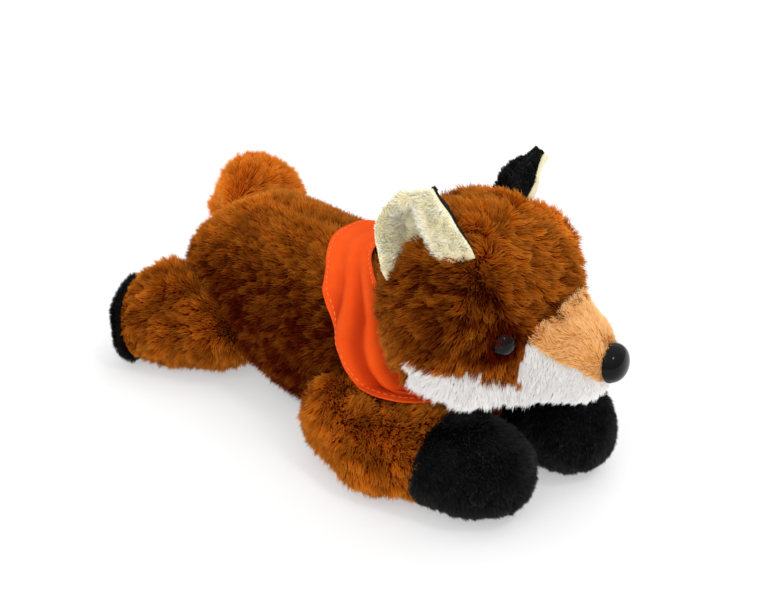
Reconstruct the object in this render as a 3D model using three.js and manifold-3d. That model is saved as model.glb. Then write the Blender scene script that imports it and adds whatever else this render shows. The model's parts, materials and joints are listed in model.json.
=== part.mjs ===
// A plush fox that lies on its belly with a kerchief round its neck, in millimetres, with +Z up.
// Its nose points along +X and its left side is +Y. The origin is on the floor under the belly.
import * as THREE from "three";
import { mergeVertices } from "three/addons/utils/BufferGeometryUtils.js";
import Module from "manifold-3d";

const wasm = await Module();
wasm.setup();

// Fabric, seams and fits.
const skinWall = 3;
const clothThickness = 1;
const fitGap = 0.3;
const swingGap = 1.5;
const floorDip = 0.5;

// Torso: a stuffed tube whose front end is half a ball round the neck's pivot.
const torsoRadius = 34.5;
const torsoBack = -78;
const rumpRound = 28;
const neckPivotX = 36;
const bellyPanelLength = 84;
const bellyPanelWidth = 40;
const bellyPanelCentre = -6;
const pouchLength = 52;
const pouchWidth = 36;
const pouchHeight = 17;

// Head, measured from the neck's pivot. It lies turned, by a share of a quarter turn, and a little aside.
const headTurnShare = 2 / 9;
const headAside = -15.5;
const headBack = 0;
const headFront = 83.5;
const headAxisHeight = 24;
const headFall = 5;
const headHalfWidth = 42;
const headTop = 41.5;
const headBottom = 21;
const headBackRound = 24;
const muzzleRound = 9;
const neckSpace = 4;
const neckPadRadius = 11;
const neckHoleRadius = 8;
const neckRiseShare = 0.429;

// Eyes and nose: domes on a shank, each held by a washer behind the skin.
const eyeRadius = 4.6;
const eyeDome = 3.4;
const eyeX = 56.2;
const eyeAside = 28.3;
const eyeZ = 32.4;
const noseHalfWidth = 8;
const noseDome = 5.5;
const noseX = 81.5;
const noseZ = 19.5;
const shankRadius = 1.6;
const shankLength = 9;
const washerRadius = 4.2;
const washerThickness = 1.6;
const washerDepth = 3.9;

// Ears: two plies of pile fabric, cupped, rooted in a slit of the head.
const earLength = 25.5;
const earTipHalfWidth = 1.4;
const earPly = 2.2;
const earRootDepth = 3.4;
const earRootRadius = 8.3;
const rightEarX = 26;
const rightEarY = -41.6;
const rightEarZ = 54.6;
const rightEarLean = 11;
const rightEarHalfWidth = 15;
const rightEarCup = 6;
const leftEarX = 34;
const leftEarY = 6;
const leftEarZ = 58.5;
const leftEarLean = 2;
const leftEarHalfWidth = 11.5;
const leftEarCup = 7;

// Forelegs.
const shoulderX = 36;
const shoulderY = 31;
const shoulderRadius = 18;
const sleeveRadius = 19;
const pawX = 92;
const pawY = 21.6;
const pawRadius = 20;
const pawSeamRun = 13;
const legHalfHeight = 17.25;

// Hind legs.
const hipX = -46;
const hipY = 27;
const hipRadius = 20;
const shinRadius = 19;
const shinRise = 4;
const footX = -84;
const footY = 50;
const footRadius = 15.8;
const footRound = 6;
const solePly = 3.6;

// Tail.
const tailPivotX = -70;
const tailPivotY = -2;
const tailPivotZ = 52;
const tailRootRadius = 10.5;
const tailRadius = 16;
const tailReach = 60;

// Kerchief.
const kerchiefGap = 0.4;
const kerchiefFold = 0.9;

// Directions, as shares of X, Y and Z: the base and the tip of each ear, and what the eyes and nose face.
const rightEarBaseShares = [0.9, 0.2, 0.36];
const rightEarTipShares = [0.1, -0.2, 1];
const leftEarBaseShares = [0.76, -0.62, 0.1];
const leftEarTipShares = [0.1, 0.72, 0.75];
const eyeFacingShares = [0.83, 0.55, 0.08];
const noseFacingShares = [1, 0, 0.16];
const noseHeightShare = 0.8;

// How square the forms are across: 2 is an ellipse, more is squarer.
const ellipsePower = 2;
const crownPower = 2.2;
const jawPower = 3.4;
const earOutlinePower = 0.8;
const earLeanPower = 1.4;

// Outlines of the forms. A row holds the place along the form and there the width, the height above
// the middle and the depth below it, as shares of the form's largest.
const torsoShares = [
  [0.0, 0.9, 0.86, 1.0],
  [0.2, 1.03, 0.99, 1.0],
  [0.45, 1.03, 1.0, 1.0],
  [0.7, 1.0, 1.0, 1.0],
  [1.0, 1.0, 1.0, 1.0],
];
const headShares = [
  [0.0, 0.6, 0.8, 0.3],
  [0.1, 0.74, 0.86, 0.42],
  [0.22, 0.9, 0.97, 0.64],
  [0.36, 1.0, 1.0, 0.86],
  [0.5, 1.01, 0.96, 0.98],
  [0.6, 0.87, 0.84, 1.0],
  [0.68, 0.66, 0.64, 0.97],
  [0.74, 0.51, 0.47, 0.9],
  [0.8, 0.42, 0.38, 0.8],
  [0.9, 0.31, 0.3, 0.7],
  [1.0, 0.26, 0.25, 0.6],
];
const tailShares = [
  [0.0, 0.54, 0.54, 0.54],
  [0.14, 0.58, 0.58, 0.66],
  [0.32, 0.92, 0.94, 0.9],
  [0.6, 1.0, 1.0, 1.0],
  [0.85, 0.82, 0.82, 0.82],
  [1.0, 0.5, 0.5, 0.5],
];
// The tail's path from its pivot, in shares of its reach.
const tailPathShares = [
  [0, 0, 0],
  [-0.18, 0.26, 0.1],
  [-0.34, 0.48, 0.02],
  [-0.52, 0.68, -0.14],
  [-0.66, 0.84, -0.28],
];
// Seams of the face seen from the side, in shares of the head's length and its height above the middle.
const cheekSeamShares = [
  [0.27, -1.0],
  [0.28, 0.6],
  [0.32, 0.68],
  [0.5, 0.66],
  [0.64, 0.58],
  [0.72, 0.42],
  [0.74, 0.76],
];
const browSeamShares = [
  [0.78, 0.88],
  [0.8, 0.9],
  [0.86, 1.6],
];
const lipSeamShares = [
  [0.84, 0.56],
  [0.95, 0.42],
  [1.0, 0.34],
];
// Edges of the kerchief as seen from the neck's pivot: the angle round the neck, as a share of half a
// turn, and the angle up from level, as a share of a quarter turn.
const kerchiefRearShares = [
  [0.0, 1.0, 0.533],
  [0.2, 0.75, 0.489],
  [0.4, 0.594, 0.361],
  [0.6, 0.461, 0.144],
  [0.7, 0.389, 0.063],
  [0.85, 0.256, 0.044],
  [1.0, 0.0, 0.044],
];
const kerchiefFrontShares = [
  [0.0, 1.0, 0.778],
  [0.2, 0.611, 0.733],
  [0.4, 0.389, 0.578],
  [0.6, 0.278, 0.333],
  [0.7, 0.233, 0.189],
  [0.85, 0.144, 0.122],
  [1.0, 0.0, 0.111],
];

// Materials.
const plush = (color, roughness = 0.95) => new THREE.MeshStandardMaterial({ color, roughness, metalness: 0 });
const brownFur = plush(0x8a4212);
const blackFur = plush(0x141312);
const whiteFur = plush(0xeae6e4);
const tanFur = plush(0xd9a468);
const creamFur = plush(0xe4dcb8);
const stuffing = plush(0xf2f0ea, 1);
const beanCloth = plush(0xcfc8ba, 0.9);
const kerchiefCloth = plush(0xe8551c, 0.85);
const blackGloss = new THREE.MeshStandardMaterial({ color: 0x0a0909, roughness: 0.08, metalness: 0 });
const washerPlastic = new THREE.MeshStandardMaterial({ color: 0xe8e6df, roughness: 0.5, metalness: 0 });

const fox = new THREE.Group();
const torsoHeight = torsoRadius - floorDip;
const torsoLength = neckPivotX + torsoRadius - torsoBack;
const neckPivot = new THREE.Vector3(neckPivotX, 0, torsoHeight);

function piece(name, geometry, material, parent = fox) {
  geometry.computeVertexNormals();
  const mesh = new THREE.Mesh(geometry, material);
  mesh.name = name;
  parent.add(mesh);
  return mesh;
}

function solid(geometry) {
  const bare = geometry.clone();
  bare.deleteAttribute("normal");
  bare.deleteAttribute("uv");
  const merged = mergeVertices(bare, 1e-5);
  const mesh = new wasm.Mesh({
    numProp: 3,
    vertProperties: new Float32Array(merged.attributes.position.array),
    triVerts: new Uint32Array(merged.index.array),
  });
  mesh.merge();
  return new wasm.Manifold(mesh);
}

function geometryOf(manifold) {
  const mesh = manifold.getMesh();
  const geometry = new THREE.BufferGeometry();
  geometry.setAttribute("position", new THREE.BufferAttribute(new Float32Array(mesh.vertProperties), 3));
  geometry.setIndex(new THREE.BufferAttribute(new Uint32Array(mesh.triVerts), 1));
  return geometry;
}

function cut(geometry, ...tools) {
  let left = solid(geometry);
  for (const tool of tools) {
    left = left.subtract(solid(tool));
  }
  return geometryOf(left);
}

function union(geometry, ...others) {
  let whole = solid(geometry);
  for (const other of others) {
    whole = whole.add(solid(other));
  }
  return geometryOf(whole);
}

function common(geometry, ...tools) {
  let left = solid(geometry);
  for (const tool of tools) {
    left = left.intersect(solid(tool));
  }
  return geometryOf(left);
}

// Catmull-Rom interpolation in a table whose first column rises from 0 to 1.
function rowAt(rows, along) {
  let i = 0;
  while (i < rows.length - 2 && rows[i + 1][0] < along) {
    i += 1;
  }
  const before = rows[Math.max(i - 1, 0)];
  const from = rows[i];
  const to = rows[i + 1];
  const after = rows[Math.min(i + 2, rows.length - 1)];
  const span = to[0] - from[0];
  const u = Math.min(Math.max((along - from[0]) / span, 0), 1);
  return from.map((value, k) => {
    if (k === 0) {
      return along;
    }
    const inSlope = i === 0 ? 0 : ((to[k] - before[k]) / (to[0] - before[0])) * span;
    const outSlope = i + 2 > rows.length - 1 ? 0 : ((after[k] - value) / (after[0] - from[0])) * span;
    const a = 2 * value - 2 * to[k] + inSlope + outSlope;
    const b = -3 * value + 3 * to[k] - 2 * inSlope - outSlope;
    return ((a * u + b) * u + inSlope) * u + value;
  });
}

// A stuffed form: rings along a path, rounded off at both ends. A row of the table holds the place
// along the path and there the half width, the height above the path and the depth below it.
// An inset makes the form that much smaller all round, and each end can have an inset of its own.
function form({ path, rows, steps, sides, startRound, endRound, power = ellipsePower, powerBelow = power, ...insets }) {
  const { inset = 0, startInset = inset, endInset = inset } = insets;
  const length = path.getLength();
  const from = startInset;
  const to = length - endInset;
  const positions = [];
  const index = [];
  const rounding = (at) => {
    const start = Math.min((at - from) / (startRound - startInset), 1);
    const end = Math.min((to - at) / (endRound - endInset), 1);
    return Math.sqrt(Math.max(1 - (1 - start) ** 2, 0) * Math.max(1 - (1 - end) ** 2, 0));
  };
  const place = (i) => {
    const evenShare = i / steps;
    const roundShare = (1 - Math.cos(Math.PI * evenShare)) / 2;
    return from + (to - from) * (evenShare + 2 * roundShare) / 3;
  };
  const frameAt = (at) => {
    const share = at / length;
    const centre = path.getPointAt(share);
    const ahead = path.getTangentAt(Math.min(Math.max(share, 0), 1));
    const aside = new THREE.Vector3(0, 0, 1).cross(ahead).normalize();
    const above = ahead.clone().cross(aside);
    return { centre, aside, above, share };
  };
  const shrink = (size) => Math.max(size - inset, size / 2);
  positions.push(...frameAt(from).centre.toArray());
  for (let i = 1; i < steps; i += 1) {
    const at = place(i);
    const { centre, aside, above, share } = frameAt(at);
    const [, wide, top, bottom] = rowAt(rows, share);
    const round = rounding(at);
    for (let k = 0; k < sides; k += 1) {
      const angle = (2 * Math.PI * k) / sides;
      const c = Math.cos(angle);
      const s = Math.sin(angle);
      const bend = 2 / (s > 0 ? power : powerBelow);
      const y = Math.sign(c) * Math.abs(c) ** bend * shrink(wide) * round;
      const z = Math.sign(s) * Math.abs(s) ** bend * shrink(s > 0 ? top : bottom) * round;
      const point = centre.clone().addScaledVector(aside, y).addScaledVector(above, z);
      positions.push(point.x, point.y, point.z);
    }
  }
  const last = positions.length / 3;
  positions.push(...frameAt(to).centre.toArray());
  for (let k = 0; k < sides; k += 1) {
    const next = (k + 1) % sides;
    index.push(0, 1 + next, 1 + k);
    for (let i = 0; i < steps - 2; i += 1) {
      const ring = 1 + i * sides;
      index.push(ring + k, ring + next, ring + sides + next);
      index.push(ring + k, ring + sides + next, ring + sides + k);
    }
    index.push(last, last - sides + k, last - sides + next);
  }
  const geometry = new THREE.BufferGeometry();
  geometry.setAttribute("position", new THREE.BufferAttribute(new Float32Array(positions), 3));
  geometry.setIndex(index);
  return geometry;
}

// Two layers of points, one on each side of a bent sheet, closed along the sheet's edges.
function sheet(pointAt, columns, rows, closedRound) {
  const width = closedRound ? columns : columns + 1;
  const layer = width * (rows + 1);
  const positions = [];
  const index = [];
  for (const face of [0, 1]) {
    for (let j = 0; j <= rows; j += 1) {
      for (let i = 0; i < width; i += 1) {
        positions.push(...pointAt(i, j, face).toArray());
      }
    }
  }
  const quad = (a, b, c, d) => index.push(a, b, c, a, c, d);
  for (let i = 0; i < columns; i += 1) {
    const right = (i + 1) % width;
    for (let j = 0; j < rows; j += 1) {
      const low = j * width;
      const high = low + width;
      quad(layer + low + i, layer + low + right, layer + high + right, layer + high + i);
      quad(low + right, low + i, high + i, high + right);
    }
    const end = rows * width;
    quad(i, right, layer + right, layer + i);
    quad(end + right, end + i, layer + end + i, layer + end + right);
  }
  if (!closedRound) {
    for (let j = 0; j < rows; j += 1) {
      const low = j * width;
      const high = low + width;
      quad(high, low, layer + low, layer + high);
      quad(low + columns, high + columns, layer + high + columns, layer + low + columns);
    }
  }
  const geometry = new THREE.BufferGeometry();
  geometry.setAttribute("position", new THREE.BufferAttribute(new Float32Array(positions), 3));
  geometry.setIndex(index);
  return geometry;
}

function pathThrough(points) {
  return new THREE.CatmullRomCurve3(points, false, "centripetal");
}

function ball(centre, radius, sides = 32) {
  return new THREE.SphereGeometry(radius, sides, sides / 2).translate(centre.x, centre.y, centre.z);
}

// A rod along a direction, from a point on.
function rod(from, direction, radius, length, sides = 12) {
  const ahead = direction.clone().normalize();
  const turn = new THREE.Quaternion().setFromUnitVectors(new THREE.Vector3(0, 1, 0), ahead);
  const middle = from.clone().addScaledVector(ahead, length / 2);
  return new THREE.CylinderGeometry(radius, radius, length, sides)
    .applyQuaternion(turn)
    .translate(middle.x, middle.y, middle.z);
}

// Everything on one side of a plane, as far as the toy reaches.
function beyond(point, direction) {
  const size = 3 * (headFront - torsoBack);
  const ahead = direction.clone().normalize();
  const turn = new THREE.Quaternion().setFromUnitVectors(new THREE.Vector3(1, 0, 0), ahead);
  const middle = point.clone().addScaledVector(ahead, size / 2);
  return new THREE.BoxGeometry(size, size, size).applyQuaternion(turn).translate(middle.x, middle.y, middle.z);
}

// The two parts of a form on either side of a seam, with the gap between them.
function parted(geometry, point, direction) {
  const before = point.clone().addScaledVector(direction, -fitGap / 2);
  const after = point.clone().addScaledVector(direction, fitGap / 2);
  return [common(geometry, beyond(before, direction.clone().negate())), common(geometry, beyond(after, direction))];
}

// A slab with an outline given across X and Z, through the whole toy along Y.
function sideSlab(points) {
  const outline = new THREE.Shape(points.map(([x, z]) => new THREE.Vector2(x, z)));
  const depth = 4 * headHalfWidth;
  return new THREE.ExtrudeGeometry(outline, { depth, bevelEnabled: false })
    .rotateX(Math.PI / 2)
    .translate(0, depth / 2, 0);
}

function scaledRows(shares, width, top, bottom) {
  return shares.map(([along, w, t, b]) => [along, w * width, t * top, b * bottom]);
}

const up = new THREE.Vector3(0, 0, 1);
const floor = beyond(new THREE.Vector3(), up);

// The legs. Each root is a body of revolution about an upright line, so that the leg can swing round it.
const shoulderHeight = legHalfHeight - floorDip;
const hipHeight = hipRadius - floorDip;

function legLine(fromX, fromY, toX, toY, side) {
  const start = new THREE.Vector3(fromX, side * fromY, 0);
  const end = new THREE.Vector3(toX, side * toY, 0);
  return { start, end, ahead: end.clone().sub(start).normalize() };
}

function forelegForm(side, steps, sides, insets = {}) {
  const { start, end, ahead } = legLine(shoulderX, shoulderY, pawX, pawY, side);
  start.addScaledVector(ahead, -shoulderRadius).setZ(shoulderHeight);
  end.addScaledVector(ahead, pawRadius).setZ(shoulderHeight);
  const path = new THREE.LineCurve3(start, end);
  const length = path.getLength();
  const paw = 1 - pawRadius / length;
  const rows = [
    [0, shoulderRadius, legHalfHeight, legHalfHeight],
    [shoulderRadius / length, shoulderRadius, legHalfHeight, legHalfHeight],
    [paw / 2 + shoulderRadius / length / 2, sleeveRadius, legHalfHeight, legHalfHeight],
    [paw, pawRadius, legHalfHeight, legHalfHeight],
    [1, pawRadius, legHalfHeight, legHalfHeight],
  ];
  return form({ path, rows, startRound: shoulderRadius, endRound: pawRadius, steps, sides, ...insets });
}

function hindLegForm(side, steps, sides, insets = {}) {
  const { start, end, ahead } = legLine(hipX, hipY, footX, footY, side);
  start.addScaledVector(ahead, -hipRadius).setZ(hipHeight);
  end.setZ(footRadius - floorDip);
  const path = new THREE.LineCurve3(start, end);
  const hip = hipRadius / path.getLength();
  const rows = [
    [0, hipRadius, hipRadius, hipRadius],
    [hip, hipRadius, hipRadius, hipRadius],
    [(hip + 1) / 2, shinRadius, shinRadius + shinRise, shinRadius],
    [1, footRadius, footRadius, footRadius],
  ];
  return form({ path, rows, startRound: hipRadius, endRound: footRound, steps, sides, ...insets });
}

// The skin of a limb is open at its root, where its stuffing meets that of the torso.
const rootOpening = 1;
const lining = { inset: skinWall, startInset: -rootOpening };
const filling = { inset: skinWall + fitGap, startInset: 0 };
const clearance = { inset: -swingGap };

// The tail, whose root is a ball round its pivot.
const tailPivot = new THREE.Vector3(tailPivotX, tailPivotY, tailPivotZ);
const tailPath = pathThrough(
  tailPathShares.map((share) => new THREE.Vector3(...share).multiplyScalar(tailReach).add(tailPivot)),
);

function tailForm(inset, steps, sides) {
  const limb = form({
    path: tailPath,
    rows: scaledRows(tailShares, tailRadius, tailRadius, tailRadius),
    startRound: tailRadius,
    endRound: tailRadius,
    steps,
    sides,
    inset,
    startInset: 0,
    endInset: Math.max(inset, 0),
  });
  return union(limb, ball(tailPivot, tailRootRadius - inset, sides));
}

// The torso.
function torsoForm(inset, steps, sides) {
  return form({
    path: new THREE.LineCurve3(
      new THREE.Vector3(torsoBack, 0, torsoHeight),
      new THREE.Vector3(neckPivotX + torsoRadius, 0, torsoHeight),
    ),
    rows: scaledRows(torsoShares, torsoRadius, torsoRadius, torsoRadius),
    startRound: rumpRound,
    endRound: torsoRadius,
    steps,
    sides,
    inset,
  });
}

const pockets = [tailForm(-swingGap, 8, 16)];
for (const side of [-1, 1]) {
  pockets.push(forelegForm(side, 10, 20, clearance), hindLegForm(side, 10, 20, clearance));
}
const neckBowlRadius = torsoRadius + neckSpace;
const neckRiseAngle = (Math.PI / 2) * neckRiseShare;
const neckDirection = new THREE.Vector3(Math.cos(neckRiseAngle), 0, Math.sin(neckRiseAngle));
const neckAt = (radius) => neckPivot.clone().addScaledVector(neckDirection, radius);

function bellyBox(gap) {
  return new THREE.BoxGeometry(bellyPanelLength + 2 * gap, bellyPanelWidth + 2 * gap, torsoHeight)
    .translate(bellyPanelCentre, 0, 0);
}

const torsoShell = common(cut(torsoForm(0, 20, 24), torsoForm(skinWall, 12, 16), ...pockets), floor);
const neckHole = rod(neckAt(torsoRadius - 2 * skinWall), neckDirection, neckHoleRadius, 3 * skinWall);
piece("torso_skin", cut(torsoShell, bellyBox(fitGap), neckHole), brownFur);
piece("belly_panel", common(torsoShell, bellyBox(0)), whiteFur);

// The bean pouch lies in a hollow of the stuffing, on the belly panel.
function pouchForm(gap) {
  return new THREE.SphereGeometry(1, 16, 10)
    .scale(pouchLength / 2 + gap, pouchWidth / 2 + gap, pouchHeight / 2 + gap)
    .translate(0, 0, pouchHeight / 2);
}

const torsoFilling = torsoForm(skinWall + fitGap, 12, 16);
piece("torso_stuffing", cut(torsoFilling, pouchForm(fitGap), ...pockets), stuffing);
piece("bean_pouch", common(pouchForm(0), torsoFilling), beanCloth);

// The neck: a pad between the ball end of the torso and the bowl in the head.
const neckBall = ball(neckPivot, torsoRadius + fitGap, 40);
const neckBowl = ball(neckPivot, neckBowlRadius - fitGap, 40);
const neckRod = rod(neckAt(0), neckDirection, neckPadRadius, 2 * neckBowlRadius);
piece("neck_stuffing", cut(common(neckBowl, neckRod), neckBall), stuffing);

// The head, in a frame whose origin is the neck's pivot.
const head = new THREE.Group();
head.position.copy(neckPivot);
head.rotation.z = (Math.PI / 2) * headTurnShare;
fox.add(head);

function headForm(inset, steps, sides) {
  return form({
    path: pathThrough([
      new THREE.Vector3(headBack, headAside, headAxisHeight),
      new THREE.Vector3((headBack + headFront) / 2, headAside, headAxisHeight),
      new THREE.Vector3(headFront, headAside, headAxisHeight - headFall),
    ]),
    rows: scaledRows(headShares, headHalfWidth, headTop, headBottom),
    startRound: headBackRound,
    endRound: muzzleRound,
    power: crownPower,
    powerBelow: jawPower,
    steps,
    sides,
    inset,
  });
}

// A button-like fitting along a direction: a dome on the skin, and a shank through it.
function fitting(at, direction, radius, dome, heightShare = 1) {
  const profile = [new THREE.Vector2(0, -shankLength), new THREE.Vector2(shankRadius, -shankLength)];
  profile.push(new THREE.Vector2(shankRadius, 0), new THREE.Vector2(radius, 0));
  const arcSteps = 5;
  for (let i = 1; i < arcSteps; i += 1) {
    const angle = (Math.PI / 2) * (i / arcSteps);
    profile.push(new THREE.Vector2(radius * Math.cos(angle), dome * Math.sin(angle)));
  }
  profile.push(new THREE.Vector2(0, dome));
  return placed(new THREE.LatheGeometry(profile, 16).rotateX(Math.PI / 2).scale(1, heightShare, 1), at, direction);
}

// Turns what was made along +Z into a direction and puts it at a point, its top edge kept level.
function placed(geometry, at, direction) {
  const ahead = direction.clone().normalize();
  const aside = up.clone().cross(ahead).normalize();
  const above = ahead.clone().cross(aside);
  const turn = new THREE.Matrix4().makeBasis(aside, above, ahead).setPosition(at);
  return geometry.applyMatrix4(turn);
}

function washer(at, direction) {
  const inner = shankRadius + fitGap;
  const profile = [
    new THREE.Vector2(inner, -washerDepth - washerThickness),
    new THREE.Vector2(washerRadius, -washerDepth - washerThickness),
    new THREE.Vector2(washerRadius, -washerDepth),
    new THREE.Vector2(inner, -washerDepth),
    new THREE.Vector2(inner, -washerDepth - washerThickness),
  ];
  return placed(new THREE.LatheGeometry(profile, 12).rotateX(Math.PI / 2), at, direction);
}

// The seat of a fitting in the skin, and the room behind the skin for its washer.
function seatTools(at, direction, radius) {
  const back = direction.clone().normalize().negate();
  const front = (distance) => at.clone().addScaledVector(back, distance);
  const seat = rod(front(fitGap), back.clone().negate(), radius + fitGap, radius);
  const hole = rod(front(-fitGap), back, shankRadius + fitGap, shankLength + 2 * fitGap);
  const room = rod(front(washerDepth - fitGap), back, washerRadius + fitGap, washerThickness + 2 * fitGap);
  return { skin: [seat, hole], fill: [room, hole] };
}

const fittings = [
  {
    name: "nose",
    washerName: "nose_washer",
    at: new THREE.Vector3(noseX, headAside, noseZ),
    direction: new THREE.Vector3(...noseFacingShares),
    radius: noseHalfWidth,
    dome: noseDome,
    heightShare: noseHeightShare,
  },
];
for (const [word, side] of [["right", -1], ["left", 1]]) {
  const [ahead, aside, above] = eyeFacingShares;
  fittings.push({
    name: `eye_${word}`,
    washerName: `eye_washer_${word}`,
    at: new THREE.Vector3(eyeX, headAside + side * eyeAside, eyeZ),
    direction: new THREE.Vector3(ahead, side * aside, above),
    radius: eyeRadius,
    dome: eyeDome,
  });
}
const seats = fittings.map(({ at, direction, radius }) => seatTools(at, direction, radius));

// The ears: a frame at the middle of each hinge, its X along the base, its Y to the inside of the ear.
const ears = [
  {
    word: "right",
    side: -1,
    at: [rightEarX, rightEarY, rightEarZ],
    along: rightEarBaseShares,
    upward: rightEarTipShares,
    lean: rightEarLean,
    halfWidth: rightEarHalfWidth,
    cup: rightEarCup,
  },
  {
    word: "left",
    side: 1,
    at: [leftEarX, leftEarY, leftEarZ],
    along: leftEarBaseShares,
    upward: leftEarTipShares,
    lean: leftEarLean,
    halfWidth: leftEarHalfWidth,
    cup: leftEarCup,
  },
];
for (const ear of ears) {
  const along = new THREE.Vector3(...ear.along).normalize();
  const inside = new THREE.Vector3(...ear.upward).cross(along).normalize().multiplyScalar(ear.side);
  const upward = along.clone().cross(inside).multiplyScalar(ear.side);
  ear.hinge = new THREE.Vector3(...ear.at);
  ear.direction = along;
  ear.toWorld = (u, w, v) => ear.hinge.clone()
    .addScaledVector(along, u)
    .addScaledVector(inside, w)
    .addScaledVector(upward, v);
}

function earGroove(ear) {
  const half = ear.halfWidth + fitGap;
  return rod(ear.toWorld(-half, 0, 0), ear.direction, earRootRadius + fitGap, 2 * half);
}

// One ply of an ear, from one distance off its middle surface to another.
function earPlySheet(ear, near, far) {
  const columns = 6;
  const rows = 7;
  const pointAt = (i, j, face) => {
    const v = -earRootDepth + ((earLength + earRootDepth) * j) / rows;
    const heightShare = Math.max(v / earLength, 0);
    const half = earTipHalfWidth + (ear.halfWidth - earTipHalfWidth) * (1 - heightShare ** 2) ** earOutlinePower;
    const across = ear.side * (1 - (2 * i) / columns);
    const cup = ear.cup * (across ** 2 - 0.5) * (half / ear.halfWidth);
    return ear.toWorld(across * half + ear.lean * heightShare ** earLeanPower, cup + (face ? far : near), v);
  };
  return sheet(pointAt, columns, rows, false);
}

const grooves = ears.map(earGroove);
const bowl = (wall, sides) => ball(new THREE.Vector3(), neckBowlRadius + wall, sides);
const headHole = rod(
  neckDirection.clone().applyAxisAngle(up, -head.rotation.z).multiplyScalar(neckBowlRadius - skinWall),
  neckDirection.clone().applyAxisAngle(up, -head.rotation.z),
  neckHoleRadius,
  3 * skinWall,
);
const headLining = cut(headForm(skinWall, 12, 16), bowl(skinWall, 20));
const headShell = cut(headForm(0, 24, 28), bowl(0, 34), headLining, headHole, ...grooves, ...seats.flatMap((s) => s.skin));

// Seams of the face: below the cheek and lip seams the fur is white, before the brow seam it is tan.
const seamPoints = (shares) => shares.map(([along, high]) => [along * headFront, high * headTop]);
const farFront = 2 * headFront;
const farUp = 3 * headTop;
const cheekSeam = seamPoints(cheekSeamShares);
const browSeam = seamPoints(browSeamShares);
const lipSeam = seamPoints(lipSeamShares);
const lipEnd = lipSeam[lipSeam.length - 1];
const whiteArea = sideSlab([
  ...cheekSeam,
  ...lipSeam,
  [farFront, lipEnd[1]],
  [farFront, cheekSeam[0][1]],
]);
const tanArea = sideSlab([
  cheekSeam[cheekSeam.length - 1],
  ...browSeam,
  [browSeam[browSeam.length - 1][0], farUp],
  [farFront, farUp],
  [farFront, lipEnd[1]],
  ...lipSeam.slice().reverse(),
]);
const widened = (slab, ...moves) => [slab, ...moves.map(([x, z]) => slab.clone().translate(x * fitGap, 0, z * fitGap))];
const whiteRoom = widened(whiteArea, [0, 1], [-1, 0], [1, 0]);
const tanRoom = widened(tanArea, [0, -1], [-1, 0]);
piece("cheek_and_chin_panel", common(headShell, whiteArea), whiteFur, head);
piece("muzzle_panel", cut(common(headShell, tanArea), ...whiteRoom), tanFur, head);
piece("head_skin", cut(headShell, ...whiteRoom, ...tanRoom), brownFur, head);
const headFilling = cut(headForm(skinWall + fitGap, 12, 16), bowl(skinWall + fitGap, 20));
piece("head_stuffing", cut(headFilling, ...grooves, ...seats.flatMap((s) => s.fill)), stuffing, head);
for (const { name, washerName, at, direction, radius, dome, heightShare } of fittings) {
  piece(name, fitting(at, direction, radius, dome, heightShare), blackGloss, head);
  piece(washerName, washer(at, direction), washerPlastic, head);
}
for (const ear of ears) {
  piece(`ear_lining_${ear.word}`, earPlySheet(ear, fitGap / 2, fitGap / 2 + earPly), creamFur, head);
  piece(`ear_back_${ear.word}`, earPlySheet(ear, -fitGap / 2 - earPly, -fitGap / 2), blackFur, head);
}

// The legs, each of a skin in two colours round its stuffing.
for (const [word, side] of [["right", -1], ["left", 1]]) {
  const foreleg = legLine(shoulderX, shoulderY, pawX, pawY, side);
  const forelegShell = common(cut(forelegForm(side, 14, 20), forelegForm(side, 9, 12, lining)), floor);
  const wrist = foreleg.end.clone().addScaledVector(foreleg.ahead, -pawSeamRun);
  const [sleeve, paw] = parted(forelegShell, wrist, foreleg.ahead);
  piece(`foreleg_sleeve_${word}`, sleeve, brownFur);
  piece(`paw_${word}`, paw, blackFur);
  piece(`foreleg_stuffing_${word}`, forelegForm(side, 9, 12, filling), stuffing);

  const hindLeg = legLine(hipX, hipY, footX, footY, side);
  const soleMiddle = solePly / 2;
  const openEnd = { ...lining, endInset: soleMiddle };
  const fullEnd = { ...filling, endInset: soleMiddle + fitGap };
  const hindShell = common(cut(hindLegForm(side, 12, 20), hindLegForm(side, 8, 12, openEnd)), floor);
  const soleSeam = hindLeg.end.clone().addScaledVector(hindLeg.ahead, -solePly);
  const [shank, sole] = parted(hindShell, soleSeam, hindLeg.ahead);
  piece(`hind_leg_${word}`, shank, brownFur);
  piece(`sole_${word}`, sole, blackFur);
  piece(`hind_leg_stuffing_${word}`, hindLegForm(side, 8, 12, fullEnd), stuffing);
}

// The tail, its last part white.
const tailSeamShare = 0.74;
const tailSeam = tailPath.getPointAt(tailSeamShare);
const tailOpening = rod(tailPivot, neckPivot.clone().sub(tailPivot), tailRootRadius / 2, 2 * tailRootRadius);
const tailShell = cut(tailForm(0, 12, 16), tailForm(skinWall, 8, 12), tailOpening);
const [tailSkin, tailTip] = parted(tailShell, tailSeam, tailPath.getTangentAt(tailSeamShare));
piece("tail_skin", tailSkin, brownFur);
piece("tail_tip", tailTip, whiteFur);
piece("tail_stuffing", tailForm(skinWall + fitGap, 8, 12), stuffing);

// The kerchief: a ring of cloth on the ball end of the torso, in low folds.
const kerchiefColumns = 36;
const kerchiefRows = 5;
const foldsRound = 9;
const foldSlantShare = 0.5;

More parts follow.
